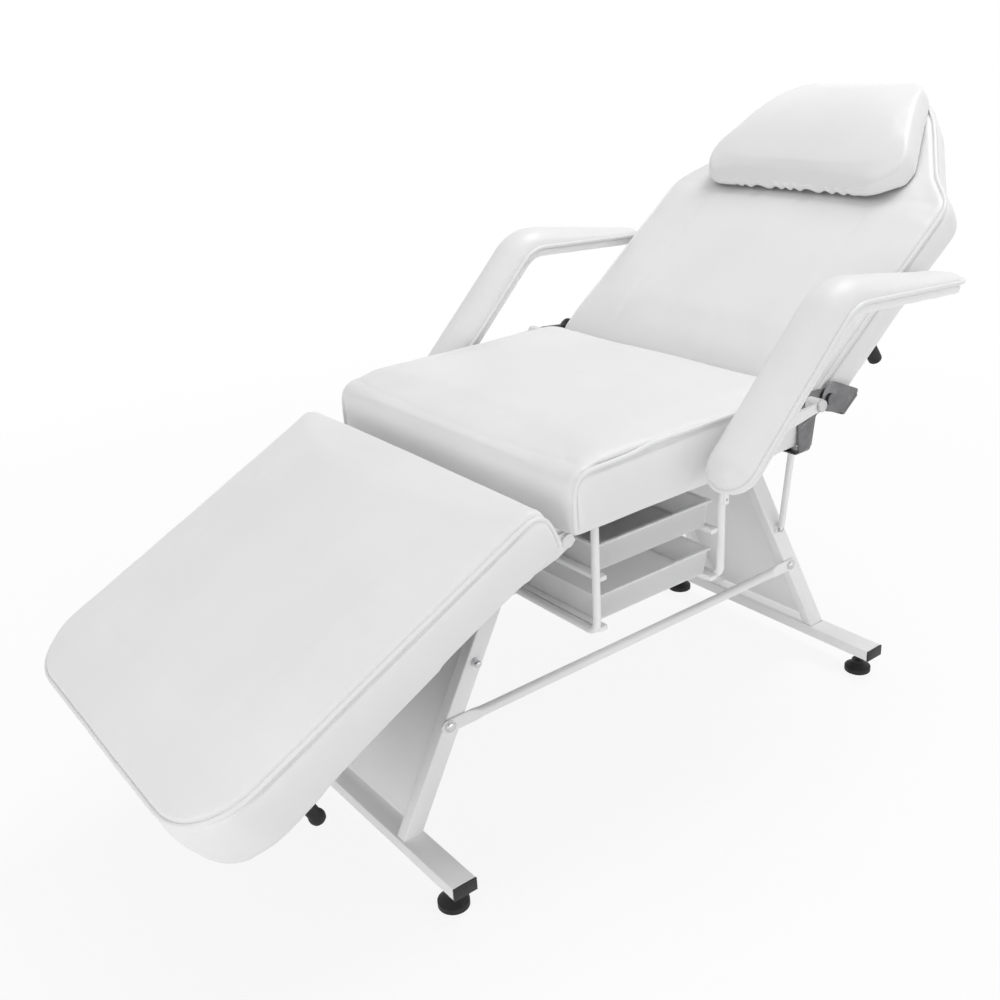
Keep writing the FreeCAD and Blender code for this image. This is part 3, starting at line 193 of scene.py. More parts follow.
WHITE_VINYL = vinyl_finish("WhiteVinyl", 0.80, 0.84)
PIPING_VINYL = vinyl_finish("PipingVinyl", 0.81, 0.85)
THREAD = dull_finish("WhiteThread", 0.74, 0.80, grain=2600, depth=0.0003, roughness=0.6, blue=-0.01)
WHITE_COAT = coat_finish("WhitePowderCoat", 0.88, 0.91, peel=700, roughness=0.36)
WHITE_PLASTIC = coat_finish("WhitePlastic", 0.89, 0.92, peel=1100, roughness=0.42)
ZINC = plated_finish("ZincPlate", 0.52, 0.70, blue=0.01)
DARK_STEEL = plated_finish("DarkSteel", 0.14, 0.22, blue=0.005)
BLACK_RUBBER = dull_finish("BlackRubber", 0.010, 0.022, grain=600, depth=0.0004, roughness=0.6)
BLACK_PLASTIC = dull_finish("BlackPlastic", 0.018, 0.032, grain=900, depth=0.0003, roughness=0.42)
# Black for the boards, also used as painted shadow on the pillow's downward faces
BLACK_BOARD_AND_PAINTED_SHADOW = dull_finish("BlackBoardAndPaintedShadow", 0.012, 0.030, grain=1400, depth=0.0005, roughness=0.85)

# Thin white plastic lets some light through
plastic_tree = WHITE_PLASTIC.node_tree
feed(plastic_tree, plastic_tree.nodes["Principled BSDF"], {
    "Subsurface Weight": 0.7, "Subsurface Radius": (1, 1, 1), "Subsurface Scale": 0.02,
})


# Small helpers for meshes
WELD = 1e-5


def link(name, mesh):
    """Put a mesh in the scene as an object."""
    item = bpy.data.objects.new(name, mesh)
    scene.collection.objects.link(item)
    return item


def evaluated(item):
    """Give an object's mesh with its modifiers or its bevel worked out."""
    graph = bpy.context.evaluated_depsgraph_get()
    graph.update()
    return bpy.data.meshes.new_from_object(item.evaluated_get(graph))


def settle(item):
    """Turn an object's modifiers into its plain mesh."""
    mesh = evaluated(item)
    old = item.data
    item.modifiers.clear()
    item.data = mesh
    mesh.name = item.name
    bpy.data.meshes.remove(old)


def paint(item, material):
    """Give an object one material."""
    item.data.materials.clear()
    item.data.materials.append(material)


def round_off(item, angle):
    """Shade smooth, with edges sharper than an angle kept."""
    item.data.shade_smooth()
    item.data.set_sharp_from_angle(angle=math.radians(angle))


def welded(node):
    """Give a copy of a node's mesh with its loose triangles merged."""
    shape = bmesh.new()
    shape.from_mesh(frame["nodes"][node].data)
    bmesh.ops.remove_doubles(shape, verts=shape.verts, dist=WELD)
    mesh = bpy.data.meshes.new(node)
    shape.to_mesh(mesh)
    shape.free()
    return mesh


def closed_rings(shape, rings):
    """Join rings of points in a row with faces and close the first and the last."""
    for first, last in zip(rings, rings[1:]):
        for index in range(len(first)):
            after = (index + 1) % len(first)
            shape.faces.new((first[index], first[after], last[after], last[index]))
    shape.faces.new(rings[0])
    shape.faces.new(rings[-1][::-1])


def finished(name, shape, angle, material, body):
    """Turn a shape into a piece with its faces outward, shaded, painted and attached to its body."""
    bmesh.ops.recalc_face_normals(shape, faces=shape.faces)
    mesh = bpy.data.meshes.new(name)
    shape.to_mesh(mesh)
    shape.free()
    piece = link(name, mesh)
    round_off(piece, angle)
    paint(piece, material)
    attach(piece, body)
    return piece


def ease(amount, low, high):
    """Rise smoothly from 0 at low to 1 at high."""
    share = min(max((amount - low) / (high - low), 0.0), 1.0)
    return share * share * (3 - 2 * share)


def within(amount, limit):
    """Keep an amount between a limit and its negative."""
    return min(max(amount, -limit), limit)


# Seam lines in each pad's flat frame
HALF = 0.295
SEAM_STEP = 0.006


def rounded_line(corners):
    """Sample an open line of (point, radius) corners, each corner rounded in its own plane."""
    line = [corners[0][0]]
    for (before, _), (corner, radius), (after, _) in zip(corners, corners[1:], corners[2:]):
        towards = (before - corner).normalized()
        onward = (after - corner).normalized()
        half = towards.angle(onward) / 2
        tangent = radius / math.tan(half)
        centre = corner + (towards + onward).normalized() * (radius / math.sin(half))
        first = corner + towards * tangent - centre
        last = corner + onward * tangent - centre
        sweep = first.angle(last)
        steps = max(3, math.ceil(sweep * radius / SEAM_STEP))
        for index in range(steps + 1):
            share = index / steps
            turn = math.sin((1 - share) * sweep) * first + math.sin(share * sweep) * last
            line.append(centre + turn / math.sin(sweep))
    line.append(corners[-1][0])
    return divided(line)


def divided(line):
    """Share out a line's points evenly."""
    points = [line[0]]
    for first, last in zip(line, line[1:]):
        steps = max(1, round((last - first).length / SEAM_STEP))
        for index in range(1, steps + 1):
            points.append(first.lerp(last, index / steps))
    return points


def both_sides(half):
    """Run a line of (point, radius) corners on to its mirror image."""
    return rounded_line([(Vector((p.x, -p.y, p.z)), radius) for p, radius in half] + half[::-1])


def seat_seam(side):
    """Give the seat's seam: along a side's top edge and down its front edge."""
    y = side * HALF
    return rounded_line([
        (Vector((0.226, y, 0.6235)), 0),
        (Vector((0.0, y, 0.628)), 0.8),
        (Vector((-0.253, y, 0.620)), 0.022),
        (Vector((-0.253, y, 0.543)), 0),
    ])


def legrest_seam():
    """Give the legrest's seam: up both hinge edges, along the sides and round the foot end."""
    start = -0.0287
    foot = -0.6057
    return both_sides([
        (Vector((start, HALF, 0.040)), 0),
        (Vector((start, HALF, 0.109)), 0.026),
        (Vector((foot, HALF, 0.107)), 0.098),
    ])


def backrest_seam():
    """Give the backrest's seam: round both noses, along the sides and shoulders and round the head."""
    top = 0.017
    return both_sides([
        (Vector((-0.018, HALF, -0.010)), 0),
        (Vector((-0.018, HALF, top)), 0.017),
        (Vector((0.382, HALF, top)), 0.045),
        (Vector((0.436, 0.243, top)), 0.045),
        (Vector((0.560, 0.167, top)), 0.045),
        (Vector((0.620, 0.112, top)), 0.042),
    ])


# Pads: an even skin over each soft solid, filled out and blown up between its seams
GROOVE_WIDTH = 0.008
LIP_FADE = 0.035
LIP_SIDE = (0.268, 0.286)
LIP_FRONT = 0.018
HEM_SIDE = (0.26, 0.285)
HEM_PITCH = Vector((13, 3, 0))
PUCKER_PITCH = Vector((34, 34, 12))
WAVE_PITCH = 7.0
WAVE_SHARE = 0.9
LEAST_PLAN_RUN = 0.002
SWELL_FRAMES = 20
CLOTH = {
    "quality": 4, "mass": 0.4, "tension_stiffness": 20, "compression_stiffness": 20,
    "shear_stiffness": 8, "bending_stiffness": 3, "air_damping": 3, "use_pressure": True,
}


def skin(node, name, place, voxel, rounds):
    """Copy a soft solid as one even skin in its flat frame, with its edges rubbed round."""
    mesh = welded(node)
    mesh.transform(place.inverted())
    pad = link(name, mesh)
    remesh = pad.modifiers.new("Skin", "REMESH")
    remesh.mode = "VOXEL"
    remesh.voxel_size = voxel
    settle(pad)
    shape = bmesh.new()
    shape.from_mesh(pad.data)
    for _ in range(rounds):
        bmesh.ops.smooth_vert(
            shape, verts=shape.verts, factor=0.5, use_axis_x=True, use_axis_y=True, use_axis_z=True
        )
    shape.to_mesh(pad.data)
    shape.free()
    return pad


def surface_of(pad):
    """Give a pad's surface for nearest-point searches."""
    shape = bmesh.new()
    shape.from_mesh(pad.data)
    tree = BVHTree.FromBMesh(shape)
    shape.free()
    return tree


def lookup(points):
    """Give a search tree over some points."""
    tree = KDTree(len(points))
    for index, point in enumerate(points):
        tree.insert(point, index)
    tree.balance()
    return tree


def near(points):
    """Give a function for the distance to the nearest of some points."""
    tree = lookup(points)
    return lambda spot: tree.find(spot)[2]


def plan_depth(seams, middle_x):
    """Give a function for how far in from the seams a spot lies in plan, with the way in."""
    points = []
    ways = []
    for seam in seams:
        for before, point, after in zip(seam, seam[1:], seam[2:]):
            way = Vector((before.y - after.y, after.x - before.x, 0))
            if way.length < LEAST_PLAN_RUN:
                continue
            if way.dot(Vector((middle_x, 0, 0)) - point) < 0:
                way.negate()
            points.append(Vector((point.x, point.y, 0)))
            ways.append(way.normalized())
    tree = lookup(points)

    def depth(spot):
        flat = Vector((spot.x, spot.y, 0))
        index = tree.find(flat)[1]
        return (flat - points[index]).dot(ways[index]), ways[index]

    return depth


def fill_out(pad, depth, shape, free):
    """Raise a pad's top to full shoulders over its seams, as far as each spot is free to."""
    seam = shape["seam"]
    wide = shape["wide"]
    roll = shape["roll"]
    knee = shape["knee"]
    for vertex in pad.data.vertices:
        above = vertex.co.z - seam
        if above <= 0:
            continue
        inset, way = depth(vertex.co)
        share = free(vertex.co, inset)
        if inset < wide:
            across = wide - inset
            scale = 1 / math.hypot(across / wide, above / roll)
            vertex.co += share * (scale - 1) * (Vector((0, 0, above)) - way * across)
        else:
            side = shape["side_rise"] * min((inset - wide) / (knee - wide), 1)
            middle = shape["middle_rise"] * ease(inset, knee, HALF)
            groove = shape["groove"] * math.exp(-((inset - knee) / GROOVE_WIDTH) ** 2)
            vertex.co.z += share * (roll + side + middle - groove - above)
    pad.data.update()


def drop_lip(pad, lowest, drop, front, end):
    """Let a pad's lower lip hang past its board, along its front and its sides up to its hinges."""
    for vertex in pad.data.vertices:
        spot = vertex.co
        low = 1 - ease(spot.z, lowest, lowest + LIP_FADE)
        rim = max(ease(abs(spot.y), *LIP_SIDE), ease(front - spot.x, 0.0, LIP_FRONT))
        vertex.co.z -= drop * low * rim * (1 - ease(spot.x, *end))
    pad.data.update()


def draw_waist(pad, low, high, amount):
    """Pull a pad's sides in between two corners."""
    for vertex in pad.data.vertices:
        share = min(max((vertex.co.x - low) / (high - low), 0), 1)
        vertex.co.y *= 1 - amount / HALF * math.sin(math.pi * share)


def swell(pad, held, pressure, slack, cap, rounds):
    """Blow a pad up as slack cloth: held points kept, every other way capped and evened out in rounds."""
    group = pad.vertex_groups.new(name="held")
    group.add(held, 1.0, "REPLACE")
    cloth = pad.modifiers.new("Cloth", "CLOTH")
    stuff = cloth.settings
    for label, value in CLOTH.items():
        setattr(stuff, label, value)
    stuff.shrink_min = -slack
    stuff.uniform_pressure_force = pressure
    stuff.vertex_group_mass = "held"
    stuff.effector_weights.gravity = 0
    cloth.collision_settings.use_collision = False
    cloth.point_cache.frame_start = 1
    cloth.point_cache.frame_end = SWELL_FRAMES
    rest = [vertex.co.copy() for vertex in pad.data.vertices]
    for number in range(1, SWELL_FRAMES + 1):
        scene.frame_set(number)
    graph = bpy.context.evaluated_depsgraph_get()
    blown = [vertex.co.copy() for vertex in pad.evaluated_get(graph).data.vertices]
    pad.modifiers.clear()
    pad.vertex_groups.clear()
    scene.frame_set(1)
    ways = []
    for first, last in zip(rest, blown):
        way = last - first
        ways.append(way * min(1.0, cap / max(way.length, 1e-9)))
    kept = set(held)
    edges = [tuple(edge.vertices) for edge in pad.data.edges]
    for _ in range(rounds):
        sums = [way.copy() for way in ways]
        counts = [1] * len(ways)
        for first, last in edges:
            sums[first] += ways[last]
            sums[last] += ways[first]
            counts[first] += 1
            counts[last] += 1
        for index, total in enumerate(sums):
            if index not in kept:
                ways[index] = total / counts[index]
    for vertex, way in zip(pad.data.vertices, ways):
        vertex.co += way
    pad.data.update()


def shift(pad, way):
    """Move all of a pad's points at once, each along its normal by what a function of it gives."""
    moves = [vertex.normal * way(vertex.co) for vertex in pad.data.vertices]
    for vertex, move in zip(pad.data.vertices, moves):
        vertex.co += move
    pad.data.update()


def sew(pad, seam, depth, width):
    """Draw a pad in along its seam."""
    distance = near(seam)
    shift(pad, lambda spot: -depth * (1 - ease(distance(spot), 0.0, width)))


def ripple(pad, seam, height, reach, underside):
    """Leave soft puckers that run out from a seam, and slow waves over the rest."""
    distance = near(seam)

    def rise(spot):
        gap = distance(spot)
        fade = (1 - ease(gap, 0.004, reach)) * ease(gap, 0.0, 0.008)
        pucker = noise.noise(spot * PUCKER_PITCH)
        wave = noise.noise(spot * WAVE_PITCH)
        free = ease(spot.z, underside + 0.002, underside + 0.02)
        return height * free * (pucker * fade + WAVE_SHARE * wave)

    shift(pad, rise)


def wave_hem(pad, lowest, amount):
    """Let the lower lip of a pad's sides rise in slow waves."""
    for vertex in pad.data.vertices:
        spot = vertex.co
        rise = 0.5 + 0.5 * noise.noise(spot * HEM_PITCH)
        low = 1 - ease(spot.z, lowest + 0.003, lowest + 0.03)
        vertex.co.z += amount * rise * low * ease(abs(spot.y), *HEM_SIDE)
    pad.data.update()


def dress(pad, place, body, node):
    pad.data.transform(place)
    pad.data.shade_smooth()
    paint(pad, WHITE_VINYL)
    finer = pad.modifiers.new("Finer", "SUBSURF")
    finer.levels = 1
    finer.render_levels = 1
    settle(pad)
    pad.data.shade_smooth()
    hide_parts(node)
    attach(pad, body)


def on_surface(pad, seam, lift, turns=10):
    """Lay a seam's points on a pad, lifted off it, and smooth the line."""
    surface = surface_of(pad)
    laid = []
    for point in seam:
        spot, normal, _, _ = surface.find_nearest(point)
        laid.append(spot + normal * lift)
    for _ in range(turns):
        middle = [(a + 2 * b + c) / 4 for a, b, c in zip(laid, laid[1:], laid[2:])]
        laid = [laid[0]] + middle + [laid[-1]]
    return laid


def tube(name, line, radius, closed=False):
    """Make a round tube along a line."""
    curve = bpy.data.curves.new(name, "CURVE")
    curve.dimensions = "3D"
    curve.bevel_depth = radius
    curve.bevel_resolution = 3
    curve.use_fill_caps = True
    spline = curve.splines.new("POLY")
    spline.points.add(len(line) - 1)
    for point, spot in zip(spline.points, line):
        point.co = (*spot, 1)
    spline.use_cyclic_u = closed
    item = link(name, curve)
    mesh = evaluated(item)
    bpy.data.objects.remove(item)
    bpy.data.curves.remove(curve)
    mesh.name = name
    return link(name, mesh)


def pipe(name, line, place, body, radius=0.0033, closed=False):
    """Lay white piping along a line of a pad's flat frame."""
    piping = tube(name, line, radius, closed)
    piping.data.transform(place)
    piping.data.shade_smooth()
    paint(piping, PIPING_VINYL)
    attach(piping, body)


# Node trees for what repeats: stitches and bolts
BOLT_FACETS = 24


def new_tree(name, kinds):
    """Start a node tree with named inputs and one geometry output."""
    tree = bpy.data.node_groups.new(name, "GeometryNodeTree")
    for label, kind in kinds.items():
        tree.interface.new_socket(label, in_out="INPUT", socket_type=f"NodeSocket{kind}")
    tree.interface.new_socket("Result", in_out="OUTPUT", socket_type="NodeSocketGeometry")
    return tree, tree.nodes.new("NodeGroupInput"), tree.nodes.new("NodeGroupOutput")


def times(tree, value, factor):
    """Give a node value times a factor."""
    return add_node(tree, "ShaderNodeMath", {0: value, 1: factor}, operation="MULTIPLY").outputs["Value"]


def sown(tree, points, rotation, instance, material, result):
    """End a tree: set an instance on points, make it real and give it its material."""
    sow = add_node(tree, "GeometryNodeInstanceOnPoints", {
        "Points": points, "Rotation": rotation, "Instance": instance,
    })
    real = add_node(tree, "GeometryNodeRealizeInstances", {"Geometry": sow.outputs["Instances"]})
    colour = add_node(tree, "GeometryNodeSetMaterial", {
        "Geometry": real.outputs["Geometry"], "Material": material,
    })
    feed(tree, result, {"Result": colour.outputs["Geometry"]})


def facing(tree, vector):
    """Give the rotation that turns a mesh's z along a vector."""
    turn = add_node(tree, "FunctionNodeAlignRotationToVector", {"Vector": vector}, axis="Z")
    return turn.outputs["Rotation"]


def stitch_tree():
    """Build the tree that sets stitches along a line of edges."""
    tree, given, result = new_tree("SeamStitches", {
        "Seam": "Geometry", "Pitch": "Float", "Length": "Float", "Thickness": "Float", "Thread": "Material",
    })
    line = add_node(tree, "GeometryNodeMeshToCurve", {"Mesh": given.outputs["Seam"]})
    spread = add_node(tree, "GeometryNodeResampleCurve", {
        "Curve": line.outputs["Curve"], "Length": given.outputs["Pitch"],
    }, mode="LENGTH")
    along = facing(tree, add_node(tree, "GeometryNodeInputTangent", {}).outputs["Tangent"])
    radius = times(tree, given.outputs["Thickness"], 0.5)
    thread = add_node(tree, "GeometryNodeMeshCylinder", {
        "Vertices": 6, "Radius": radius, "Depth": given.outputs["Length"],
    })
    sown(tree, spread.outputs["Curve"], along, thread.outputs["Mesh"], given.outputs["Thread"], result)
    return tree


def lifted(tree, mesh, height, scale_z=1.0):
    """Move a node mesh along z, flattened or not."""
    place = add_node(tree, "ShaderNodeCombineXYZ", {"Z": height})
    move = add_node(tree, "GeometryNodeTransform", {
        "Geometry": mesh, "Translation": place.outputs["Vector"], "Scale": (1, 1, scale_z),
    })
    return move.outputs["Geometry"]


def bolt_tree():
    """Build the tree that sets domed bolts with washers on points, facing out from the bed's middle."""
    tree, given, result = new_tree("DomedBolts", {
        "Places": "Geometry", "Radius": "Float", "Stand": "Float", "Shank": "Float", "Washer": "Float",
        "Steel": "Material",
    })
    radius = given.outputs["Radius"]
    stand = given.outputs["Stand"]
    shank = given.outputs["Shank"]
    washer = given.outputs["Washer"]
    head_radius = times(tree, radius, 0.92)
    dome = add_node(tree, "GeometryNodeMeshUVSphere", {
        "Segments": BOLT_FACETS, "Rings": 14, "Radius": head_radius,
    })
    parts = add_node(tree, "GeometryNodeJoinGeometry", {
        "Geometry": lifted(tree, dome.outputs["Mesh"], stand, scale_z=0.5),
    })
    for rod_radius, depth, height in (
        (head_radius, stand, times(tree, stand, 0.5)),
        (times(tree, radius, 1.2), washer, times(tree, washer, 0.5)),
        (times(tree, radius, 0.55), shank, times(tree, shank, -0.5)),
    ):
        rod = add_node(tree, "GeometryNodeMeshCylinder", {
            "Vertices": BOLT_FACETS, "Radius": rod_radius, "Depth": depth,
        })
        feed(tree, parts, {"Geometry": lifted(tree, rod.outputs["Mesh"], height)})
    position = add_node(tree, "GeometryNodeInputPosition", {})
    split = add_node(tree, "ShaderNodeSeparateXYZ", {"Vector": position.outputs["Position"]})
    sideways = add_node(tree, "ShaderNodeCombineXYZ", {"Y": split.outputs["Y"]})
    outward = facing(tree, sideways.outputs["Vector"])
    sown(tree, given.outputs["Places"], outward, parts.outputs["Geometry"], given.outputs["Steel"], result)
    return tree


def grown(name, spots, edges, tree, values):
    """Run a node tree on a mesh of points and give the plain result."""
    mesh = bpy.data.meshes.new(name)
    mesh.from_pydata(spots, edges, [])
    item = link(name, mesh)
    maker = item.modifiers.new("Maker", "NODES")
    maker.node_group = tree
    for socket in tree.interface.items_tree:
        if socket.name in values:
            maker[socket.identifier] = values[socket.name]
    settle(item)
    round_off(item, 40)
    return item


STITCH_TREE = stitch_tree()
BOLT_TREE = bolt_tree()


def stitch(name, line, place, body):
    """Sew a row of stitches along a line of a pad's flat frame."""
    edges = [(index, index + 1) for index in range(len(line) - 1)]
    values = {"Pitch": 0.0052, "Length": 0.0038, "Thickness": 0.0007, "Thread": THREAD}
    row = grown(name, [place @ spot for spot in line], edges, STITCH_TREE, values)
    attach(row, body)


# The three large pads, each made by rules in its flat frame:
# voxel is the size of the skin's squares, and span the stretch along which the sides are drawn in;
# underside and lowest are the heights of the board's face and of the lower lip;
# lip says how far that lip hangs, beyond which x it does so all across and where it ends by the hinges;
# shape gives the shoulders over the seams, and free how far each spot may take their form;
# fixed tells what is held as the pad swells, and room keeps it clear of its neighbours.
STITCH_DROP = Vector((0, 0, -0.0075))
BOARD_GRIP = 0.004
SEAM_GRIP = 0.006


def held_points(pad, seam, underside, fixed):
    """List the points of a pad that its board, its seam and its neighbours hold."""
    distance = near(seam)
    held = []
    for vertex in pad.data.vertices:
        spot = vertex.co
        if spot.z < underside + BOARD_GRIP or distance(spot) < SEAM_GRIP or fixed(spot):
            held.append(vertex.index)
    return held


def stuffed(node, name, body, place, seams, rules):
    """Make one pad with its piping and stitches, by the pad's own rules."""
    pad = skin(node, name, place, rules["voxel"], rounds=5)
    low, high = rules["span"]
    underside = rules["underside"]
    lowest = rules["lowest"]
    seam = [point for line in seams for point in line]
    fill_out(pad, plan_depth(seams, (low + high) / 2), rules["shape"], rules["free"])
    if "lip" in rules:
        drop_lip(pad, lowest, **rules["lip"])
    draw_waist(pad, low, high, amount=0.0025)
    held = held_points(pad, seam, underside, rules["fixed"])
    swell(pad, held, pressure=4.0, slack=0.003, cap=0.005, rounds=4)
    sew(pad, seam, depth=0.0042, width=0.011)
    ripple(pad, seam, height=0.0010, reach=0.055, underside=underside)
    wave_hem(pad, lowest, amount=0.003)
    for vertex in pad.data.vertices:
        rules["room"](vertex.co)
    pad.data.update()
    for number, line in enumerate(seams, start=1):
        pipe(f"{name}_piping_{number}", on_surface(pad, line, lift=0.0020), place, body)
        below = [point + STITCH_DROP for point in line]
        stitch(f"{name}_stitches_{number}", on_surface(pad, below, lift=0.0002), place, body)
    dress(pad, place, body, node)


def seat_free(spot, inset):
    """Fill the seat out except by its front and rear edges."""
    return ease(spot.x, -0.250, -0.190) * (1 - ease(spot.x, 0.178, 0.228))


def seat_room(spot):
    """Keep the seat's pad clear of the pads before and behind it and of the hinge leaves."""
    spot.x = min(max(spot.x, -0.2545), 0.2283)
    spot.y = within(spot.y, 0.3045 - 0.0042 * ease(spot.x, 0.120, 0.160))


def legrest_free(spot, inset):
    """Fill the legrest out except by its hinge end."""
    return 1 - ease(spot.x, -0.100, -0.030)


def legrest_room(spot):
    """Keep the legrest's pad clear of the seat."""
    spot.x = min(spot.x, -0.0285)


def backrest_free(spot, inset):
    """Fill the backrest out except by its nose and under the pillow."""
    return ease(spot.x, 0.0, 0.05) * (1 - ease(spot.x, 0.31, 0.37) * ease(inset, 0.02, 0.05))


def backrest_fixed(spot):
    """Hold the backrest at its nose and under the pillow."""
    under_pillow = spot.x > 0.37 and spot.z > 0.021
    return spot.x < 0.002 or under_pillow


def backrest_room(spot):
    """Keep the backrest's nose round its pivot and its sides clear of the hinge leaves."""
    if spot.x < 0:
        scale = min(1, 0.0184 / math.hypot(spot.x, max(spot.z, 0)))
        spot.x *= scale
        spot.z = spot.z * scale if spot.z > 0 else spot.z
    spot.y = within(spot.y, 0.3038 + 0.0035 * ease(spot.x, 0.07, 0.11))


stuffed("seat_cushion", "seat_pad", "base", SEAT_FRAME, [seat_seam(-1), seat_seam(1)], {
    "voxel": 0.006, "span": (-0.254, 0.228), "underside": 0.545, "lowest": 0.537,
    "lip": {"drop": 0.006, "front": -0.232, "end": (0.12, 0.16)},
    "shape": {
        "seam": 0.6255, "wide": 0.022, "roll": 0.0105, "knee": 0.120,
        "side_rise": 0.0015, "middle_rise": 0.0020, "groove": 0.0006,
    },
    "free": seat_free, "fixed": lambda spot: spot.x < -0.249 or spot.x > 0.223, "room": seat_room,
})
stuffed("legrest_cushion", "legrest_pad", "legrest", REST_FRAME, [legrest_seam()], {
    "voxel": 0.0064, "span": (-0.606, -0.029), "underside": 0.037, "lowest": 0.021,
    "lip": {"drop": 0.012, "front": -0.512, "end": (-0.10, -0.05)},
    "shape": {
        "seam": 0.108, "wide": 0.026, "roll": 0.0125, "knee": 0.105,
        "side_rise": 0.0070, "middle_rise": 0.0035, "groove": 0.0014,
    },
    "free": legrest_free, "fixed": lambda spot: spot.x > -0.034, "room": legrest_room,
})
stuffed("backrest_cushion", "backrest_pad", "backrest", BACK_FRAME, [backrest_seam()], {
    "voxel": 0.006, "span": (-0.018, 0.382), "underside": -0.042, "lowest": -0.042,
    "shape": {
        "seam": 0.017, "wide": 0.020, "roll": 0.0065, "knee": 0.120,
        "side_rise": 0.0060, "middle_rise": 0.0025, "groove": 0.0016,
    },
    "free": backrest_free, "fixed": backrest_fixed, "room": backrest_room,
})


# Pillow: a slack wedge with a gathered hem along its lower edge
PILLOW_FRONT = 0.362
PILLOW_REAR = 0.60
PILLOW_UNDERSIDE = 0.024
PILLOW_GRIP = 0.006
PILLOW_WIDEN = 1.04
PILLOW_FULLER = 0.32
PILLOW_THINNER = 0.20
HEM_LIFT = 0.0080
HEM_GATHER = 0.0036
GATHER_PITCH = 230
CRUMPLE = 0.0008
CRUMPLE_PITCH = Vector((9, 16, 20))


def head_pillow():
    """Make the pillow that lies on the backrest, thin in front and full at the rear."""
    pillow = skin("head_pillow", "head_pillow_cover", BACK_FRAME, voxel=0.004, rounds=4)
    for vertex in pillow.data.vertices:
        vertex.co.y *= PILLOW_WIDEN
    pillow.data.update()
    under = surface_of(pillow)

    def height(spot):
        hit = under.ray_cast(Vector((spot.x, spot.y, -0.2)), Vector((0, 0, 1)))[0]
        return spot.z - hit.z if hit else spot.z - PILLOW_UNDERSIDE

    heights = [height(vertex.co) for vertex in pillow.data.vertices]
    held = [vertex.index for vertex, above in zip(pillow.data.vertices, heights) if above < PILLOW_GRIP]
    for vertex, above in zip(pillow.data.vertices, heights):
        rearward = ease(vertex.co.x, PILLOW_FRONT, PILLOW_REAR)
        vertex.co.z += above * (PILLOW_FULLER * rearward - PILLOW_THINNER)
    swell(pillow, held, pressure=4.0, slack=0.003, cap=0.006, rounds=16)
    for vertex, above in zip(pillow.data.vertices, heights):
        spot = vertex.co
        at_front = 1 - ease(spot.x, PILLOW_FRONT + 0.012, PILLOW_FRONT + 0.050)
        low = 1 - ease(above, 0.004, 0.030)
        gather = math.sin(spot.y * GATHER_PITCH + 4 * noise.noise(Vector((spot.y * 18, 0, 0))))
        middle = 1 - ease(abs(spot.y + 0.01), 0.10, 0.15)
        crumple = noise.noise(spot * CRUMPLE_PITCH)
        hem = HEM_LIFT + HEM_GATHER * middle * gather
        vertex.co.z += at_front * low * hem + CRUMPLE * crumple * (1 - low)
    pillow.data.update()
    dress(pillow, BACK_FRAME, "backrest", "head_pillow")
    # The pillow's downward faces are painted black as painted shadow in the gap under the lifted hem
    pillow.data.materials.append(BLACK_BOARD_AND_PAINTED_SHADOW)
    down = BACK_FRAME.to_3x3() @ Vector((0, 0, -1))
    for face in pillow.data.polygons:
        if face.normal.dot(down) > 0.75:
            face.material_index = 1


head_pillow()

# Armrests: crowned boomerangs with piping round their rims, on moulded boards
ARM_SLOPE = math.radians(44.8)
ARM_DROP = math.radians(3.2)
ARM_TIP = Vector((SEAT_X - 0.039, 0, 0.552))
ARM_RISE = 0.313
ARM_REACH = 0.287
ARM_BEND = 0.060
ARM_HALF = 0.040
ARM_Y = 0.350
ARM_END_STEPS = 16


def upright(way):
    """Give the way up from a slope in the bed's long plane."""
    return Vector((-way.z, 0, way.x))


def arm_line():
    """Give the armrest's line from one round end's middle to the other's, with the ways along it."""
    rise = Vector((math.cos(ARM_SLOPE), 0, math.sin(ARM_SLOPE)))
    back = Vector((math.cos(ARM_DROP), 0, -math.sin(ARM_DROP)))
    corner = ARM_TIP + rise * ARM_RISE
    end = corner + back * ARM_REACH
    line = rounded_line([
        (ARM_TIP + rise * ARM_HALF, 0), (corner, ARM_BEND), (end - back * ARM_HALF, 0),
    ])
    return line, rise, back


def half_ring(centre, ahead, across):
    """Give the points round one end of an armrest, from one side to the other."""
    points = []
    for step in range(1, ARM_END_STEPS):
        angle = math.pi * step / ARM_END_STEPS
        points.append(centre + (ahead * math.sin(angle) - across * math.cos(angle)) * ARM_HALF)
    return points


def arm_rim(side, height):
    """Give the closed rim of an armrest at a height above its underside."""
    line, rise, back = arm_line()
    across = Vector((0, 1, 0))
    middle = Vector((0, side * ARM_Y, 0))
    rails = {-1: [], 1: []}
    for index, point in enumerate(line):
        ahead = line[min(index + 1, len(line) - 1)] - line[max(index - 1, 0)]
        up = upright(ahead.normalized())
        for edge in rails:
            rails[edge].append(point + middle + across * edge * ARM_HALF + up * height)
    rear = line[-1] + middle + upright(back) * height
    front = line[0] + middle + upright(rise) * height
    return rails[-1] + half_ring(rear, back, across) + rails[1][::-1] + half_ring(front, -rise, -across)


def armrest_cover(side_name):
    """Make one armrest's pad with its piping."""
    side = SIDES[side_name]
    body = f"armrest_{side_name}"
    pad = skin(f"armrest_pad_{side_name}", f"armrest_cover_{side_name}", BED_FRAME, voxel=0.004, rounds=4)
    rim = arm_rim(side, height=0.003)
    distance = near(rim)
    held = [vertex.index for vertex in pad.data.vertices if distance(vertex.co) < 0.007]
    swell(pad, held, pressure=3.0, slack=0.002, cap=0.003, rounds=6)
    sew(pad, arm_rim(side, height=0.010), depth=0.0014, width=0.008)
    pipe(f"armrest_piping_{side_name}", rim, BED_FRAME, body, radius=0.0034, closed=True)
    dress(pad, BED_FRAME, body, f"armrest_pad_{side_name}")


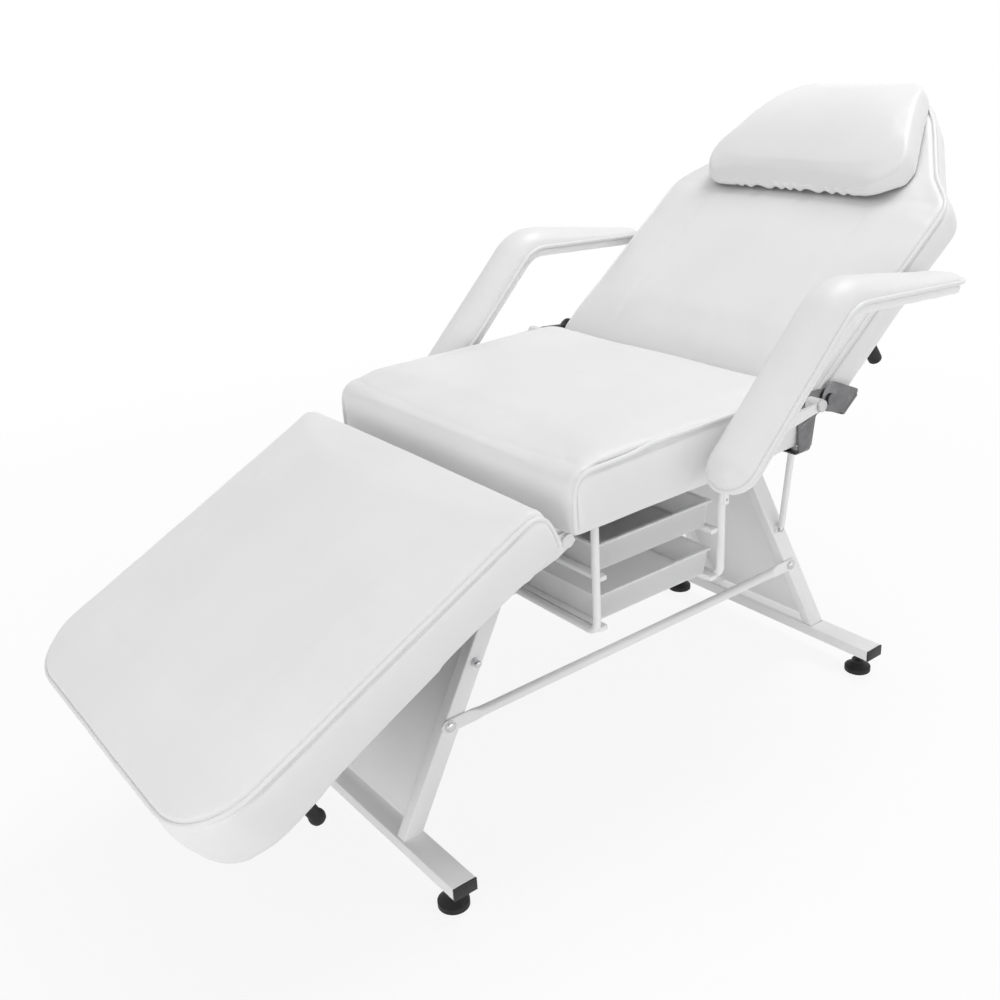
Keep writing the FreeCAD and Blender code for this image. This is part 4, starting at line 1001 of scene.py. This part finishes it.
def armrest_shell(side_name):
    """Make one armrest's moulded board with its edges rubbed round."""
    node = f"armrest_board_{side_name}"
    shell = skin(node, f"armrest_shell_{side_name}", BED_FRAME, voxel=0.003, rounds=6)
    shell.data.shade_smooth()
    paint(shell, WHITE_PLASTIC)
    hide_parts(node)
    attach(shell, f"armrest_{side_name}")


for side_name in SIDES:
    armrest_cover(side_name)
    armrest_shell(side_name)


# Legrest buffers: two rubber studs under the legrest's board, as on the backrest
BUFFER_X = -0.479
BUFFER_Y = 0.262
BUFFER_FACETS = 32
BUFFER_PROFILE = [
    (0.0030, -0.0250), (0.0070, -0.0240), (0.0098, -0.0210), (0.0110, -0.0165), (0.0105, -0.0120),
    (0.0090, -0.0090), (0.0090, 0.0190), (0.0122, 0.0200), (0.0122, 0.0250),
]


def legrest_buffers():
    """Turn both buffers from their profile."""
    shape = bmesh.new()
    for side in SIDES.values():
        rings = []
        for radius, z in BUFFER_PROFILE:
            ring = []
            for step in range(BUFFER_FACETS):
                angle = 2 * math.pi * step / BUFFER_FACETS
                x = BUFFER_X + radius * math.cos(angle)
                y = side * BUFFER_Y + radius * math.sin(angle)
                ring.append(shape.verts.new(REST_FRAME @ Vector((x, y, z))))
            rings.append(ring)
        closed_rings(shape, rings)
    finished("legrest_buffers", shape, 50, BLACK_RUBBER, "legrest")


legrest_buffers()

# Hinge leaves: pressed plates whose feet bend in under the pads
LEAF_SHEET = 0.003
LEAF_BEND = 0.009
LEAF_STEPS = 8
LEAF_LAP = 0.002
LEAVES = {
    "seat": {
        "outline": [
            (0.184, 0.540, 0), (0.1776, 0.609, 0.004), (0.187, 0.6294, 0.006), (0.262, 0.6225, 0.010),
            (0.262, 0.594, 0.008), (0.221, 0.587, 0.006), (0.214, 0.540, 0),
        ],
        "y": 0.3025, "foot_left": 0.186, "foot_right": 0.212, "foot_top": 0.540, "foot_end": 0.2375,
        "rib_y": 0.304, "place": SEAT_FRAME, "body": "base",
    },
    "backrest": {
        "outline": [
            (0.010, -0.047, 0), (-0.0185, -0.008, 0.008), (-0.012, 0.0195, 0.014), (0.020, 0.0195, 0.016),
            (0.0555, -0.043, 0.004), (0.050, -0.047, 0),
        ],
        "y": 0.306, "foot_left": 0.012, "foot_right": 0.049, "foot_top": -0.047, "foot_end": 0.235,
        "place": BACK_FRAME, "body": "backrest",
    },
}


def add_plate(shape, outline, y):
    """Add a flat plate with an outline in x and z, its sheet's middle at y."""
    line = rounded_line([(Vector((x, 0, z)), radius) for x, z, radius in outline])
    rings = []
    for face_y in (y - LEAF_SHEET / 2, y + LEAF_SHEET / 2):
        rings.append([shape.verts.new((spot.x, face_y, spot.z)) for spot in line])
    closed_rings(shape, rings)


def add_foot(shape, left, right, top, y, inner_y):
    """Add a strip that runs down from a plate, bends in and ends at inner_y."""
    side = math.copysign(1, y)
    path = [(Vector((0, y, top + LEAF_LAP)), Vector((0, side, 0)))]
    for step in range(LEAF_STEPS + 1):
        angle = math.pi / 2 * step / LEAF_STEPS
        out = Vector((0, side * math.cos(angle), -math.sin(angle)))
        path.append((Vector((0, y - side * LEAF_BEND, top)) + out * LEAF_BEND, out))
    path.append((Vector((0, inner_y, top - LEAF_BEND)), Vector((0, 0, -1))))
    rings = []
    for spot, out in path:
        corners = ((left, 1), (right, 1), (right, -1), (left, -1))
        ring = [spot + out * (face * LEAF_SHEET / 2) + Vector((x, 0, 0)) for x, face in corners]
        rings.append([shape.verts.new(corner) for corner in ring])
    closed_rings(shape, rings)


def add_rib(shape, y):
    """Add the pressed rib across the seat's leaf."""
    turn = Matrix.Rotation(math.radians(-23), 4, "Y")
    size = Matrix.Diagonal((0.021, 0.0014, 0.0032, 1))
    place = Matrix.Translation((0.203, y, 0.582)) @ turn @ size
    bmesh.ops.create_uvsphere(shape, u_segments=24, v_segments=12, radius=1, matrix=place)


def formed_leaf(kind, side_name):
    """Make one hinge leaf."""
    side = SIDES[side_name]
    leaf = LEAVES[kind]
    shape = bmesh.new()
    y = side * leaf["y"]
    add_plate(shape, leaf["outline"], y)
    add_foot(shape, leaf["foot_left"], leaf["foot_right"], leaf["foot_top"], y, side * leaf["foot_end"])
    bmesh.ops.recalc_face_normals(shape, faces=shape.faces)
    sharp = [edge for edge in shape.edges if edge.calc_face_angle(0) > math.radians(60)]
    bmesh.ops.bevel(shape, geom=sharp, offset=0.0006, segments=2, profile=0.5, affect="EDGES")
    if "rib_y" in leaf:
        add_rib(shape, side * leaf["rib_y"])
    shape.transform(leaf["place"])
    piece = finished(f"{kind}_leaf_{side_name}", shape, 35, DARK_STEEL, leaf["body"])
    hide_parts(f"{kind}_hinge_leaf_{side_name}")


for side_name in SIDES:
    for kind in LEAVES:
        formed_leaf(kind, side_name)


# Braces: tubes pressed flat at their bolted ends
BRACE_FACETS = 28
PRESS_STEPS = 8


def brace(side_name):
    """Make one side brace, its round tube running smoothly into its flat ends."""
    node = f"side_brace_{side_name}"
    low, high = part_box(node)
    middle = (low + high) / 2
    radius = (high.y - low.y) / 2
    tab_half = (high.z - low.z) / 2
    tab_thick = 0.004
    neck = 0.048
    press = 0.026
    ends = [0.0004, 0.0015, 0.004, 0.0075, 0.011, 0.03]
    ends += [neck + press * step / PRESS_STEPS for step in range(PRESS_STEPS + 1)]
    stations = [low.x + d for d in ends] + [high.x - d for d in ends[::-1]]
    shape = bmesh.new()
    rings = []
    for x in stations:
        depth = min(x - low.x, high.x - x)
        flat = 1 - ease(depth, neck, neck + press)
        tip = math.sqrt(1 - (1 - min(depth / tab_half, 1)) ** 2)
        half_high = (radius + (tab_half - radius) * flat) * tip
        half_thick = radius + (tab_thick / 2 - radius) * flat
        square = 2 / (2 + 4 * flat)
        ring = []
        for step in range(BRACE_FACETS):
            angle = 2 * math.pi * step / BRACE_FACETS
            across = math.copysign(abs(math.cos(angle)) ** square, math.cos(angle))
            up = math.copysign(abs(math.sin(angle)) ** square, math.sin(angle))
            ring.append(shape.verts.new((x, middle.y + half_thick * across, middle.z + half_high * up)))
        rings.append(ring)
    closed_rings(shape, rings)
    piece = finished(f"pressed_brace_{side_name}", shape, 40, WHITE_COAT, "base")
    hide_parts(node)


for side_name in SIDES:
    brace(side_name)


# Bolts: domed heads with washers
def islands(node):
    """List the boxes of a node's separate solids."""
    mesh = welded(node)
    shape = bmesh.new()
    shape.from_mesh(mesh)
    bpy.data.meshes.remove(mesh)
    found = set()
    boxes = []
    for start in shape.verts:
        if start in found:
            continue
        found.add(start)
        reached = [start]
        for vertex in reached:
            for edge in vertex.link_edges:
                other = edge.other_vert(vertex)
                if other not in found:
                    found.add(other)
                    reached.append(other)
        spread = list(zip(*(vertex.co for vertex in reached)))
        boxes.append((Vector([min(axis) for axis in spread]), Vector([max(axis) for axis in spread])))
    shape.free()
    return boxes


def domed_bolts(node, radius, stands_out, stand):
    """Make a node's bolts with domed heads, seated a length in from the outer ends of the node's own."""
    spots = []
    for low, high in islands(node):
        middle = (low + high) / 2
        side = math.copysign(1, middle.y)
        outer = max(abs(low.y), abs(high.y))
        spots.append(Vector((middle.x, side * (outer - stands_out), middle.z)))
    values = {"Radius": radius, "Stand": stand, "Shank": 0.009, "Washer": 0.0014, "Steel": ZINC}
    bolts = grown(f"domed_{node}", spots, [], BOLT_TREE, values)
    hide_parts(node)
    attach(bolts, "base")


domed_bolts("brace_bolts", radius=0.008, stands_out=0.0045, stand=0.0010)
domed_bolts("stay_bolts", radius=0.006, stands_out=0.012, stand=0.0095)


# Steel and fittings with their edges eased
bodies = frame["record"]["behaviour"]["bodies"]
body_of_node = {node: body for body, nodes in bodies.items() for node in nodes}
slot_of_node = {row["node"]: row["material_slot"] for row in frame["record"]["subparts"]}
SLOT_FINISH = {
    "white_steel": WHITE_COAT, "white_plastic": WHITE_PLASTIC, "white_vinyl": WHITE_VINYL, "zinc": ZINC,
    "black_rubber": BLACK_RUBBER, "black_plastic": BLACK_PLASTIC, "board": BLACK_BOARD_AND_PAINTED_SHADOW,
}
for name, item in frame["nodes"].items():
    paint(item, SLOT_FINISH[slot_of_node[name]])
for side_name in SIDES:
    paint(frame["nodes"][f"backrest_pivot_bolt_{side_name}"], DARK_STEEL)
    paint(frame["nodes"][f"legrest_pivot_pin_{side_name}"], WHITE_COAT)


def eased(node, amount):
    """Stand in for a node with a copy whose long edges are rounded."""
    mesh = welded(node)
    shape = bmesh.new()
    shape.from_mesh(mesh)
    bmesh.ops.dissolve_limit(shape, angle_limit=math.radians(0.5), verts=shape.verts, edges=shape.edges)
    corners = []
    for edge in shape.edges:
        if len(edge.link_faces) == 2 and edge.calc_face_angle(0) > math.radians(40):
            if edge.calc_length() > 4 * amount:
                corners.append(edge)
    bmesh.ops.bevel(
        shape, geom=corners, offset=amount, offset_type="OFFSET", segments=2, profile=0.5,
        affect="EDGES", clamp_overlap=False,
    )
    shape.to_mesh(mesh)
    shape.free()
    piece = link(f"{node}_eased", mesh)
    round_off(piece, 35)
    paint(piece, SLOT_FINISH[slot_of_node[node]])
    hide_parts(node)
    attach(piece, body_of_node[node])


EASED = {
    "front_floor_bar": 0.0015, "rear_floor_bar": 0.0015, "front_leg_panel": 0.0008, "rear_leg_panel": 0.0008,
    "front_cross_rail": 0.0015, "rear_cross_rail": 0.0015, "upper_tray_runners": 0.0015,
    "lower_tray_runners": 0.0015, "floor_bar_end_caps": 0.0012, "front_leg_tube": 0.0018,
    "rear_leg_tube": 0.0018, "side_rail": 0.0015, "armrest_strap": 0.0008, "armrest_bracket": 0.0008,
}
for node in frame["nodes"]:
    stem = node.removesuffix("_left").removesuffix("_right")
    if stem in EASED:
        eased(node, EASED[stem])


# Floor, background and studio light
FLOOR_REACH = 12.0
FLOOR_Z = -0.0005
AMBIENT = 0.54
floor_mesh = bpy.data.meshes.new("studio_floor")
floor_corners = [(-1, -1), (1, -1), (1, 1), (-1, 1)]
floor_spots = [(x * FLOOR_REACH, y * FLOOR_REACH, FLOOR_Z) for x, y in floor_corners]
floor_mesh.from_pydata(floor_spots, [], [(0, 1, 2, 3)])
floor = link("studio_floor", floor_mesh)


def seen_directly(tree):
    """Give 1 for rays from the camera, from mirrors and through glass."""
    path = add_node(tree, "ShaderNodeLightPath", {})
    total = path.outputs["Is Camera Ray"]
    for label in ("Is Glossy Ray", "Is Transmission Ray"):
        both = add_node(tree, "ShaderNodeMath", {0: total, 1: path.outputs[label]}, operation="MAXIMUM")
        total = both.outputs["Value"]
    return total


def floor_finish():
    """Make a pale floor that keeps a faint shadow and runs into the white background."""
    pale = Finish("PaleFloor", roughness=0.9, specular=0.1)
    pale.tint(pale.noise(0.7), 0.90, 0.92)
    tree = pale.tree
    glow = add_node(tree, "ShaderNodeEmission", {"Strength": 1.0})
    reach = add_node(tree, "ShaderNodeVectorMath", {0: pale.place}, operation="LENGTH")
    fade = add_node(tree, "ShaderNodeMapRange", {
        "Value": reach.outputs["Value"], "From Min": 0.8, "From Max": 2.8, "To Min": 0.86, "To Max": 1.0,
    })
    share = add_node(tree, "ShaderNodeMath", {
        0: seen_directly(tree), 1: fade.outputs["Result"],
    }, operation="MULTIPLY")
    mix = add_node(tree, "ShaderNodeMixShader", {
        "Fac": share.outputs["Value"], 1: pale.shader.outputs["BSDF"], 2: glow.outputs["Emission"],
    })
    feed(tree, tree.nodes["Material Output"], {"Surface": mix.outputs["Shader"]})
    return pale.material


paint(floor, floor_finish())

world = bpy.data.worlds.new("Studio")
world.use_nodes = True
scene.world = world
sky_tree = world.node_tree
strength = add_node(sky_tree, "ShaderNodeMapRange", {
    "Value": seen_directly(sky_tree), "To Min": AMBIENT, "To Max": 1.0,
})
feed(sky_tree, sky_tree.nodes["Background"], {
    "Color": (1, 1, 1, 1), "Strength": strength.outputs["Result"],
})


def softbox(name, place, aim, width, height, power):
    """Hang a soft lamp that faces a point."""
    lamp = bpy.data.lights.new(name, "AREA")
    lamp.shape = "RECTANGLE"
    lamp.size = width
    lamp.size_y = height
    lamp.energy = power
    item = bpy.data.objects.new(name, lamp)
    scene.collection.objects.link(item)
    item.location = place
    item.rotation_euler = (Vector(aim) - Vector(place)).to_track_quat("-Z", "Y").to_euler()


softbox("TopSoftbox", (1.6, -0.3, 4.0), aim=(0.0, 0, 0.6), width=1.8, height=1.8, power=68)
softbox("SideSoftbox", (0.6, -2.6, 0.6), aim=(0.1, 0, 0.3), width=2.6, height=0.8, power=9)
softbox("FootSoftbox", (-3.0, -1.0, 0.9), aim=(-0.3, 0, 0.35), width=1.8, height=1.2, power=22)

scene.view_settings.view_transform = "Standard"
